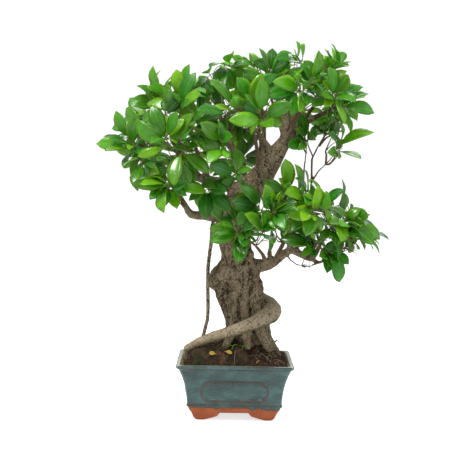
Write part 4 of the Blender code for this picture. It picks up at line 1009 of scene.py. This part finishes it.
def makeClay():
    material, tree, shader = newMaterial("bare_clay")
    edge, stain = maskChannels(tree, "clayMask")[:2]
    pattern = mottled(tree, objectPlace(tree), *potLook["clayMottle"])
    base = mixColours(tree, pattern["Blotch"], potLook["clayDark"], potLook["clay"])
    base = mixColours(tree, 0.45, base, potLook["clay"])
    base = tint(tree, base, pattern["Speckle"], 0.35, potLook["clayDark"])
    base = tint(tree, base, stain, 0.7, potLook["brown"])
    base = tint(tree, base, edge, 0.25, potLook["clayEdge"])
    setShader(tree, shader, baseColour=base, roughness=0.82, specular=0.3,
              normal=bump(tree, pattern["Grain"], 0.3 * mm, 0.7))
    return material


def wallAt(z):
    return np.array([wallHalf(value) for value in z])


def potProfile():  # half length and height, up the outside, over the lip and down to the floor
    profile = [(footHalf - 1.0 * mm, foot - 0.3 * mm),
               (footHalf + potLook["flange"] * 0.8, foot + 0.2 * mm),
               (footHalf + potLook["flange"], foot + 0.5 * potLook["flangeHeight"]),
               (wallHalf(foot + 5 * mm), foot + potLook["flangeHeight"])]
    for k in range(14):
        z = foot + 7 * mm + (neck - foot - 7.5 * mm) * k / 13
        profile.append((wallHalf(z), z))
    inner = rimHalf - potLook["wall"]
    profile += [(rimHalf - 1.6 * mm, neck + 0.4 * mm), (rimHalf - 0.4 * mm, neck + 1.4 * mm),
                (rimHalf - 0.2 * mm, lipTop - 1.4 * mm), (rimHalf - 1.2 * mm, lipTop - 0.1 * mm),
                (inner + 0.8 * mm, lipTop), (inner, lipTop - 1.6 * mm)]
    outside = len(profile)
    for k in range(8):
        z = lipTop - 6 * mm - (lipTop - 6 * mm - potLook["floor"]) * k / 7
        low = footHalf - potLook["wall"]
        profile.append((low + (inner - low) * ((z - foot) / (lipTop - foot))**1.6, z))
    return profile, outside


def makePotBody():
    profile, outside = potProfile()
    corner = potLook["corner"]
    rings = [roundedRing(h, z, corner if i < outside else corner - 3.5 * mm)
             for i, (h, z) in enumerate(profile)]
    bm = bmesh.new()
    loft(bm, rings)
    for k in range(4):
        panelBand(bm, k % 2 == 0, k * math.pi / 2)
    rng = random.Random(5)
    for k in range(9):  # glaze that ran over the foot
        x = rng.uniform(-70, 70) if k > 5 else rng.uniform(30, 72)
        y = -1 if k < 7 else 1
        size = rng.uniform(0.6, 1.3) if k < 6 else 0.6
        shape = Matrix.Diagonal((6.5 * mm * size, 1.6 * mm, 3.6 * mm * size, 1))
        place = drawn(x, y * (footHalf - inset) / mm, foot / mm - rng.uniform(0, 1.2))
        bmesh.ops.create_uvsphere(bm, u_segments=12, v_segments=8, radius=1,
                                  matrix=Matrix.Translation(place) @ shape)
    faceOut(bm)
    body = addObject("pot_body", bm, [makeGlaze()])
    remesh(body, potLook["voxel"], 2)
    holes = []
    for side in (-1, 1):
        bm = bmesh.new()
        middle = Matrix.Translation(drawn(side * potLook["drainPlace"], 0, 28))
        bmesh.ops.create_cone(bm, cap_ends=True, segments=32, radius1=potLook["drainRadius"],
                              radius2=potLook["drainRadius"], depth=30 * mm, matrix=middle)
        holes.append(addObject("drain", bm))
    for hole in holes:
        cut = body.modifiers.new("drain", "BOOLEAN")
        cut.operation = "DIFFERENCE"
        cut.object = hole
        cut.solver = "EXACT"
    applyModifiers(body)
    for hole in holes:
        bpy.data.objects.remove(hole)
    finishGlaze(body.data)
    finishPiece(body, "glazed_stoneware", "pot")
    print("pot", len(body.data.polygons), "faces")


def finishGlaze(mesh):  # an uneven surface, and masks for where the glaze breaks, pools and ends
    co, normals = vertexData(mesh)
    z = co[:, 2]
    wobble = 0.45 * mm * lumps(co, 22, 11) + 0.12 * mm * lumps(co, 120, 12)
    moveVertices(mesh, co + normals * (wobble * ramped(z, 0.026, 0.034))[:, None])
    bend = convexity(mesh, 1)
    edge = ramped(bend, 0.05 * mm, 0.20 * mm)
    wall = wallAt(z)
    local = np.abs(co - np.array(potMiddle))
    for along, across, straight in ((0, 1, 0.0), (1, 0, inset)):
        reach = (potLook["panelLength"] - potLook["panelHeight"]) / 2 - straight
        line = np.hypot(np.maximum(local[:, along] - reach, 0), z - panelMiddle)
        line = np.abs(line - potLook["panelHeight"] / 2 + potLook["panelLine"] / 2)
        facing = np.abs(normals[:, across]) > 0.55
        outside = local[:, across] > wall - (inset if across else 0) - 3 * mm
        edge = np.maximum(edge, (1 - ramped(line, 0.9 * mm, 2.6 * mm)) * facing * outside)
    lipEdge = 1 - ramped(np.abs(z - neck), 0.5 * mm, 2.2 * mm)
    rimTop = ramped(z, lipTop - 2.0 * mm, lipTop - 0.6 * mm)
    footLine = 1 - ramped(np.abs(z - foot - 4.0 * mm), 0.4 * mm, 2.0 * mm)
    outer = np.maximum(local[:, 0] - wall, local[:, 1] - wall + inset) > -2 * mm
    edge = np.maximum(edge, 0.85 * np.maximum(lipEdge, footLine) * outer)
    lip = np.maximum(local[:, 0] - rimHalf, local[:, 1] - rimHalf + inset)
    edge = np.where(z > neck, edge * (lip > -potLook["rimMask"]), edge)
    edge = np.maximum(edge, 0.85 * rimTop * (lip > -2.0 * mm))
    hollow = ramped(-bend, 0.03 * mm, 0.12 * mm)
    inside = ramped(z, 0.030, 0.032) * (local[:, 0] < wall - 4.5 * mm)
    inside = inside * (local[:, 1] < wall - inset - 4.5 * mm)
    inside = np.where(z > neck, lip < -potLook["rimMask"], inside).astype(float)
    inside = softened(mesh, inside, 2)
    edge = softened(mesh, edge, 2)
    streak = ramped(lumps(co, 60, 13, (1, 1, 0.3)), 0.25, 0.6) * ramped(z, 0.045, 0.03)
    setMask(mesh, "glazeMask", edge, hollow, inside, streak * 0.6)


def makePotBase():
    bm = mergedCopy("pot")
    geom = bm.verts[:] + bm.edges[:] + bm.faces[:]
    bmesh.ops.bisect_plane(bm, geom=geom, plane_co=(0, 0, foot - 0.4 * mm), plane_no=(0, 0, 1),
                           clear_outer=True)
    bmesh.ops.triangle_fill(bm, use_beauty=True, use_dissolve=False, edges=openEdges(bm))
    faceOut(bm)
    base = addObject("pot_base", bm, [makeClay()])
    remesh(base, 1.2 * mm, 3)
    co, normals = vertexData(base.data)
    rough = 0.22 * mm * lumps(co, 60, 14) + 0.12 * mm * lumps(co, 240, 15)
    rough *= ramped(co[:, 2], 0.0, 0.002)
    moveVertices(base.data, co + normals * rough[:, None])
    bend = convexity(base.data, 1)
    stain = ramped(lumps(co, 40, 16), 0.1, 0.5) * ramped(co[:, 2], 0.012, 0.022)
    setMask(base.data, "clayMask", ramped(bend, 0.03 * mm, 0.15 * mm), stain)
    finishPiece(base, "glazed_stoneware")
    print("pot base", len(base.data.polygons), "faces")


makePotBody()
makePotBase()


# soil, moss and what lies on it

soilLook = {
    "dark": colour(0.020, 0.013, 0.008), "brown": colour(0.060, 0.034, 0.019),
    "red": colour(0.150, 0.062, 0.030), "grit": colour(0.250, 0.190, 0.130),
    "moss": colour(0.075, 0.105, 0.018), "mossDarkAndShade": colour(0.022, 0.038, 0.010),
    "mossTip": colour(0.180, 0.230, 0.045), "fallen": colour(0.500, 0.330, 0.040),
    "rootlet": colour(0.230, 0.150, 0.085),
    "voxel": 1.8 * mm, "bankWidth": 15 * mm, "crumb": 2.1 * mm, "crumbs": 1500, "rootlets": 64,
    "mossBlades": 260,  # on each cushion
    "soilMottle": (120.0, 620.0, 0.58), "mossMottle": (150.0, 1100.0, 0.55),
    "fallenMottle": (160.0, 700.0, 0.62),
    "lowest": 0.086,  # litter lies on soil above this height
    "dangling": ((124, -22, 268), (131, -20, 270), (138, -22, 268), (118, -24, 266), (127, -18, 276)),
    "fallenPlaces": ((-84, -46, 17, 0.9), (-38, -58, 13, 1.0), (-12, -57, 14, 1.0),  # x, y, length, tone
                     (-60, -54, 9, 0.3), (40, -52, 10, 0.5), (70, 20, 14, 0.7), (-20, 56, 15, 0.8),
                     (48, 50, 11, 0.4), (-76, 30, 12, 0.6)),
    "sproutPlaces": ((13, -50), (-63, -44), (60, -30), (-30, 48), (72, 36), (-6, -52), (-72, -30)),
}


def makeSoilMaterial():
    material, tree, shader = newMaterial("damp_soil")
    height, moss = maskChannels(tree, "soilMask")[:2]
    pattern = mottled(tree, objectPlace(tree), *soilLook["soilMottle"])
    # dark soil colour in the hollows between crumbs and brown on the raised crumbs: painted shade
    base = mixColours(tree, height, soilLook["dark"], soilLook["brown"])
    base = tint(tree, base, between(tree, pattern["Blotch"], 0.6, 1.0), 0.6, soilLook["red"])
    base = tint(tree, base, pattern["Speckle"], 0.35, soilLook["grit"])
    base = tint(tree, base, moss, between(tree, pattern["Grain"], 0.35, 0.55), soilLook["mossDarkAndShade"])
    setShader(tree, shader, baseColour=base, roughness=0.92, specular=0.25,
              normal=bump(tree, pattern["Grain"], 1.2 * mm, 1.0))
    return material


def makeMossMaterial():
    material, tree, shader = newMaterial("cushion_moss")
    height, chance = maskChannels(tree, "mossMask")[:2]
    pattern = mottled(tree, objectPlace(tree), *soilLook["mossMottle"])
    # dark moss colour low in the cushion is painted shade; the pale tips are the moss's own colour
    base = mixColours(tree, height, soilLook["mossDarkAndShade"], soilLook["moss"])
    base = tint(tree, base, pattern["Speckle"], height, soilLook["mossTip"])
    base = tint(tree, base, chance, 0.35, soilLook["brown"])
    setShader(tree, shader, baseColour=base, roughness=0.95, specular=0.2, sheen=0.2,
              normal=bump(tree, pattern["Grain"], 1.0 * mm, 1.0))
    return material


def makePlainMaterial(name, first, second, scale, rough):
    material, tree, shader = newMaterial(name)
    tone = maskChannels(tree, "toneMask")[0]
    pattern = mottled(tree, objectPlace(tree), scale, scale * 7, 0.6)
    share = times(tree, pattern["Blotch"], 0.4)
    share = compute(tree, "ADD", share, times(tree, tone, 0.6))
    base = mixColours(tree, share, first, second)
    setShader(tree, shader, baseColour=base, roughness=rough, specular=0.3,
              normal=bump(tree, pattern["Grain"], 0.3 * mm, 0.6))
    return material


def makeGround():
    soil = addObject("soil_surface", mergedCopy("soil"), [makeSoilMaterial()])
    remesh(soil, soilLook["voxel"], 3)
    co, normals = vertexData(soil.data)
    upward = ramped(normals[:, 2], 0.1, 0.5) * ramped(co[:, 2], 0.084, 0.09)
    bank = np.zeros(len(co))
    for place, _ in curvedRoute([(drawn(*p), 1.0) for p in spiralRoot[1:7]], 8):
        away = np.hypot(co[:, 0] - place.x, co[:, 1] - place.y)
        top = place.z - 0.006 - co[:, 2]
        bank = np.maximum(bank, np.clip(top, 0, 0.034) * np.exp(-(away / soilLook["bankWidth"])**2))
    edgeway = np.maximum(np.abs(co[:, 0] - potMiddle.x) - 0.076, np.abs(co[:, 1] - potMiddle.y) - 0.054)
    bank *= 1 - ramped(edgeway, 0.0, 0.012)
    co[:, 2] += bank * upward * 0.92
    grains = np.array([noise.voronoi((x * 210, y * 210, z * 210))[0][0] for x, y, z in co])
    big = np.array([noise.voronoi((x * 95, y * 95, z * 95))[0][0] for x, y, z in co])
    crumb = (0.45 - grains) * 1.1 + (0.4 - big) * 1.9 + 0.8 * lumps(co, 120, 25)
    moveVertices(soil.data, co + normals * (soilLook["crumb"] * crumb * upward)[:, None])
    moss = ramped(lumps(co, 42, 21), 0.12, 0.42) * upward * 0.85
    # the first number is low in the hollows between crumbs, for painted shade there; the second is moss
    setMask(soil.data, "soilMask", ramped(crumb, -0.6, 0.5), moss)
    finishPiece(soil, "soil", "soil")
    print("soil", len(soil.data.polygons), "faces")
    return treeOf(soil.data)


def makeMoss():
    rng = random.Random(41)
    mossMaterial = makeMossMaterial()
    for name in nodesNamed("moss_cushion"):
        cushion = addObject(name.replace("cushion", "tuft"), mergedCopy(name), [mossMaterial])
        remesh(cushion, 1.3 * mm, 3)
        co, normals = vertexData(cushion.data)
        fuzz = 0.9 * mm * lumps(co, 170, 23) + 0.6 * mm * lumps(co, 420, 24)
        moveVertices(cushion.data, co + normals * fuzz[:, None])
        # low in the cushion's hollows, for painted shade there
        height = ramped(fuzz, -0.9 * mm, 0.9 * mm)
        bm = bmesh.new()
        bm.from_mesh(cushion.data)
        layer = bm.verts.layers.float_color.new("mossMask")
        for vert, value in zip(bm.verts, height):
            vert[layer] = (value * 0.8, 0, 0, 1)
        spots = [v for v in bm.verts if v.normal.z > 0.15]
        for spot in rng.sample(spots, min(len(spots), soilLook["mossBlades"])):
            way = (spot.normal + jitter(rng, 0.5)).normalized()
            turn = way.to_track_quat("Z", "Y").to_matrix().to_4x4()
            tall = rng.uniform(2.0, 4.2) * mm
            place = Matrix.Translation(spot.co + way * (tall / 2 - 0.5 * mm)) @ turn
            made = bmesh.ops.create_cone(bm, cap_ends=True, segments=3, radius1=0.75 * mm,
                                         radius2=0.12 * mm, depth=tall, matrix=place)["verts"]
            # blade bases darker than their tips: the dark bases are painted shade, the lighter tips real
            shade = rng.uniform(0.3, 0.9)
            for vert in made:
                top = (vert.co - spot.co).dot(way) > tall * 0.4
                vert[layer] = (1.0 if top else shade * 0.6, rng.uniform(0, 0.3), 0, 1)
        mesh = meshFrom(cushion.name, bm)
        mesh.shade_smooth()
        mesh.materials.append(mossMaterial)
        cushion.data = mesh
        finishPiece(cushion, "moss", name)


def onGround(tree, x, y):  # the place on the soil and its normal, or None twice
    return tree.ray_cast(drawn(x, y, 200), -up)[:2]


def makeCrumbs(groundTree, rng):
    crumbMaterial = makePlainMaterial("soil_crumbs", soilLook["dark"], soilLook["red"], 200.0, 0.9)
    bm, layer = maskedMesh("toneMask")
    for _ in range(soilLook["crumbs"]):
        x, y = rng.uniform(-90, 90), rng.uniform(-66, 66)
        place, normal = onGround(groundTree, x, y)
        if place is None or place.z < 0.088:
            continue
        size = rng.uniform(0.7, 1.3) * rng.choice((1, 1, 1.9)) * mm
        shape = Matrix.Diagonal((size * rng.uniform(0.7, 1.6), size, size * rng.uniform(0.5, 0.9), 1))
        turn = Matrix.Rotation(rng.uniform(0, 6.28), 4, "Z")
        turn = turn @ Matrix.Rotation(rng.uniform(-0.6, 0.6), 4, "X")
        lie = Matrix.Translation(place + normal * size * 0.3) @ turn @ shape
        made = bmesh.ops.create_icosphere(bm, subdivisions=1, radius=1, matrix=lie)
        tone = rng.random() ** 2
        for vert in made["verts"]:
            vert.co += jitter(rng, 0.18) * size
            vert[layer] = (tone, 0, 0, 1)
    crumbs = addObject("soil_crumbs", bm, [crumbMaterial], smooth=False)
    finishPiece(crumbs, "soil")


def makeRootlets(groundTree, rng):
    rootMaterial = makePlainMaterial("dry_rootlets", soilLook["rootlet"], barkLook["lichen"], 150.0, 0.85)
    bm, layer = maskedMesh("toneMask")
    for k in range(soilLook["rootlets"]):
        if k < 34:  # the first ones lie at the right
            x, y = rng.uniform(30, 82), rng.uniform(-56, 40)
        else:
            x, y = rng.uniform(-80, 40), rng.uniform(-60, 58)
        heading = rng.uniform(0, 6.28)
        route = []
        for step in range(6):
            place, normal = onGround(groundTree, x, y)
            if place is None or place.z < soilLook["lowest"]:
                break
            lift = rng.uniform(0.2, 1.5) * mm if 0 < step < 5 else -1.0 * mm
            route.append((place + up * lift, 0.45 * mm * (1 - 0.1 * step)))
            heading += rng.uniform(-0.7, 0.7)
            x += 6.5 * math.cos(heading)
            y += 6.5 * math.sin(heading)
        if len(route) > 3:
            addTube(bm, curvedRoute(route, 2), 4)
    for x, y, z in soilLook["dangling"]:
        route = [(drawn(x, y, z), 0.6 * mm)]
        for step in range(4):
            x += rng.uniform(-2.5, 2.5)
            y += rng.uniform(-2, 2)
            z -= rng.uniform(2.5, 5)
            route.append((drawn(x, y, z), (0.5 - 0.08 * step) * mm))
        addTube(bm, curvedRoute(route, 2), 4)
    for vert in bm.verts:
        vert[layer] = (0.5 + 0.5 * noise.noise(vert.co * 60), 0, 0, 1)
    faceOut(bm)
    rootlets = addObject("rootlets", bm, [rootMaterial])
    finishPiece(rootlets, "root_bark")


def makeFallenLeaves(groundTree, rng):
    fallenTop, tree, shader = newMaterial("fallen_leaf")
    youth = maskChannels(tree, "leafMask")[0]
    pattern = mottled(tree, objectPlace(tree), *soilLook["fallenMottle"])
    base = mixColours(tree, youth, soilLook["brown"], soilLook["fallen"])
    base = tint(tree, base, pattern["Blotch"], 0.4, soilLook["red"])
    setShader(tree, shader, baseColour=base, roughness=0.7,
              normal=bump(tree, pattern["Grain"], 0.3 * mm, 0.5))
    bm, layer = maskedMesh("leafMask")
    for x, y, size, tone in soilLook["fallenPlaces"]:
        leaf = groundLeaf(groundTree, rng, x, y, size)
        if leaf:
            addLeaf(bm, leaf, layer, tone, rng.random())
    litter = addObject("fallen_leaves", bm, [fallenTop, fallenTop, fallenTop])
    finishPiece(litter, "leaf")


def makeSprouts(groundTree, rng):
    bm, layer = maskedMesh("leafMask")
    for x, y in soilLook["sproutPlaces"]:
        place = onGround(groundTree, x, y)[0]
        if place is None:
            continue
        tall = rng.uniform(6, 11) * mm
        lean = Vector((rng.uniform(-0.3, 0.3), rng.uniform(-0.3, 0.3), 1)).normalized()
        top = place + lean * tall
        route = [(place - up * mm, 0.5 * mm), (place + lean * tall / 2, 0.45 * mm), (top, 0.35 * mm)]
        addTube(bm, route, 5, 2)
        for vert in bm.verts:
            if vert[layer][3] == 0:
                vert[layer] = (0.9, 0.5, 0, 1)
        for k in range(3):
            turn = rng.uniform(0, 2) + k * 2.1
            way = Vector((math.cos(turn), math.sin(turn), 0.35)).normalized()
            leaf = simpleLeaf(top, way, up, rng.uniform(6, 10) * mm, 2.6 * mm, rng)
            addLeaf(bm, leaf, layer, 0.85, rng.random())
    sprouts = addObject("sprouts", bm, [leafTop, leafUnder, greenTwig])
    finishPiece(sprouts, "leaf")


def groundLeaf(tree, rng, x, y, size):
    place, normal = onGround(tree, x, y)
    if place is None:
        return None
    turn = rng.uniform(0, 6.28)
    way = Vector((math.cos(turn), math.sin(turn), 0))
    way = (way - normal * way.dot(normal)).normalized()
    base = place + normal * 1.8 * mm - way * size * mm / 2
    leaf = simpleLeaf(base, way, normal, size * mm, size * 0.27 * mm, rng)
    leaf.fold = 0.5
    return leaf


groundTree = makeGround()
makeMoss()
draws = random.Random(77)
for make in (makeCrumbs, makeRootlets, makeFallenLeaves, makeSprouts):
    make(groundTree, draws)
print("moss and litter placed")


# drain screens

screenLook = {
    "dark": colour(0.012, 0.012, 0.012), "worn": colour(0.030, 0.030, 0.028),
    "mottle": (300.0, 1500.0, 0.6),
}


def makeScreens():
    plastic, tree, shader = newMaterial("screen_plastic")
    pattern = mottled(tree, objectPlace(tree), *screenLook["mottle"])
    base = mixColours(tree, pattern["Blotch"], screenLook["dark"], screenLook["worn"])
    setShader(tree, shader, baseColour=base, roughness=0.55,
              normal=bump(tree, pattern["Grain"], 0.1 * mm, 0.4))
    for side in ("left", "right"):
        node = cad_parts["drain_screen_" + side]
        node.data.materials.clear()
        node.data.materials.append(plastic)


makeScreens()


# studio: floor, light and camera

studio = {
    "floorTone": colour(0.80, 0.80, 0.80), "floorGlow": 0.72, "worldStrength": 0.5,
    "lens": 70.29, "sensor": 36.0,
    "cameraPlace": Vector((-19.2, -1536.3, 417.2)) * mm, "pitch": 3.2, "roll": 0.95,
    "aim": Vector((0, 0, 0.35)),  # where the lights point
    "lights": (  # name, place, size, power, tint
        ("key_light", (-0.8, -1.1, 2.6), 0.8, 62, (1.0, 0.985, 0.96)),
        ("fill_light", (1.8, -1.2, 1.2), 1.4, 9, (0.96, 0.98, 1.0)),
        ("back_light", (0.5, 1.8, 1.9), 1.2, 14, (1.0, 1.0, 1.0)),
    ),
}


def makeStudio():
    scene = bpy.context.scene
    scene.view_settings.view_transform = "Standard"
    world = bpy.data.worlds.new("studio")
    world.use_nodes = True
    background = world.node_tree.nodes["Background"]
    background.inputs[0].default_value = (1, 1, 1, 1)
    seen = addNode(world.node_tree, "ShaderNodeLightPath").outputs["Is Camera Ray"]
    strength = addNode(world.node_tree, "ShaderNodeMapRange",
                       {0: seen, 3: studio["worldStrength"], 4: 1.05}).outputs[0]
    world.node_tree.links.new(strength, background.inputs[1])
    scene.world = world

    bm = bmesh.new()
    bmesh.ops.create_grid(bm, x_segments=1, y_segments=1, size=40)
    material, tree, shader = newMaterial("studio_floor")
    seen = addNode(tree, "ShaderNodeLightPath").outputs["Is Camera Ray"]
    setShader(tree, shader, baseColour=studio["floorTone"], roughness=0.9, specular=0.1,
              glow=colour(1, 1, 1), glowStrength=times(tree, seen, studio["floorGlow"]))
    floor = addObject("studio_floor", bm, [material], smooth=False)
    floor.location.z = -0.2 * mm

    for name, place, size, power, warmth in studio["lights"]:
        data = bpy.data.lights.new(name, "AREA")
        data.size = size
        data.energy = power
        data.color = warmth
        light = bpy.data.objects.new(name, data)
        scene.collection.objects.link(light)
        light.location = place
        aim = studio["aim"] - Vector(place)
        light.rotation_euler = aim.to_track_quat("-Z", "Y").to_euler()

    data = bpy.data.cameras.new("camera")
    data.lens = studio["lens"]
    data.sensor_width = studio["sensor"]
    data.clip_start = 0.05
    camera = bpy.data.objects.new("camera", data)
    scene.collection.objects.link(camera)
    camera.location = studio["cameraPlace"] + potMiddle
    look = Matrix.Rotation(math.radians(90 - studio["pitch"]), 3, "X")
    camera.rotation_euler = (look @ Matrix.Rotation(math.radians(studio["roll"]), 3, "Z")).to_euler()
    scene.camera = camera
    print("studio ready")


makeStudio()
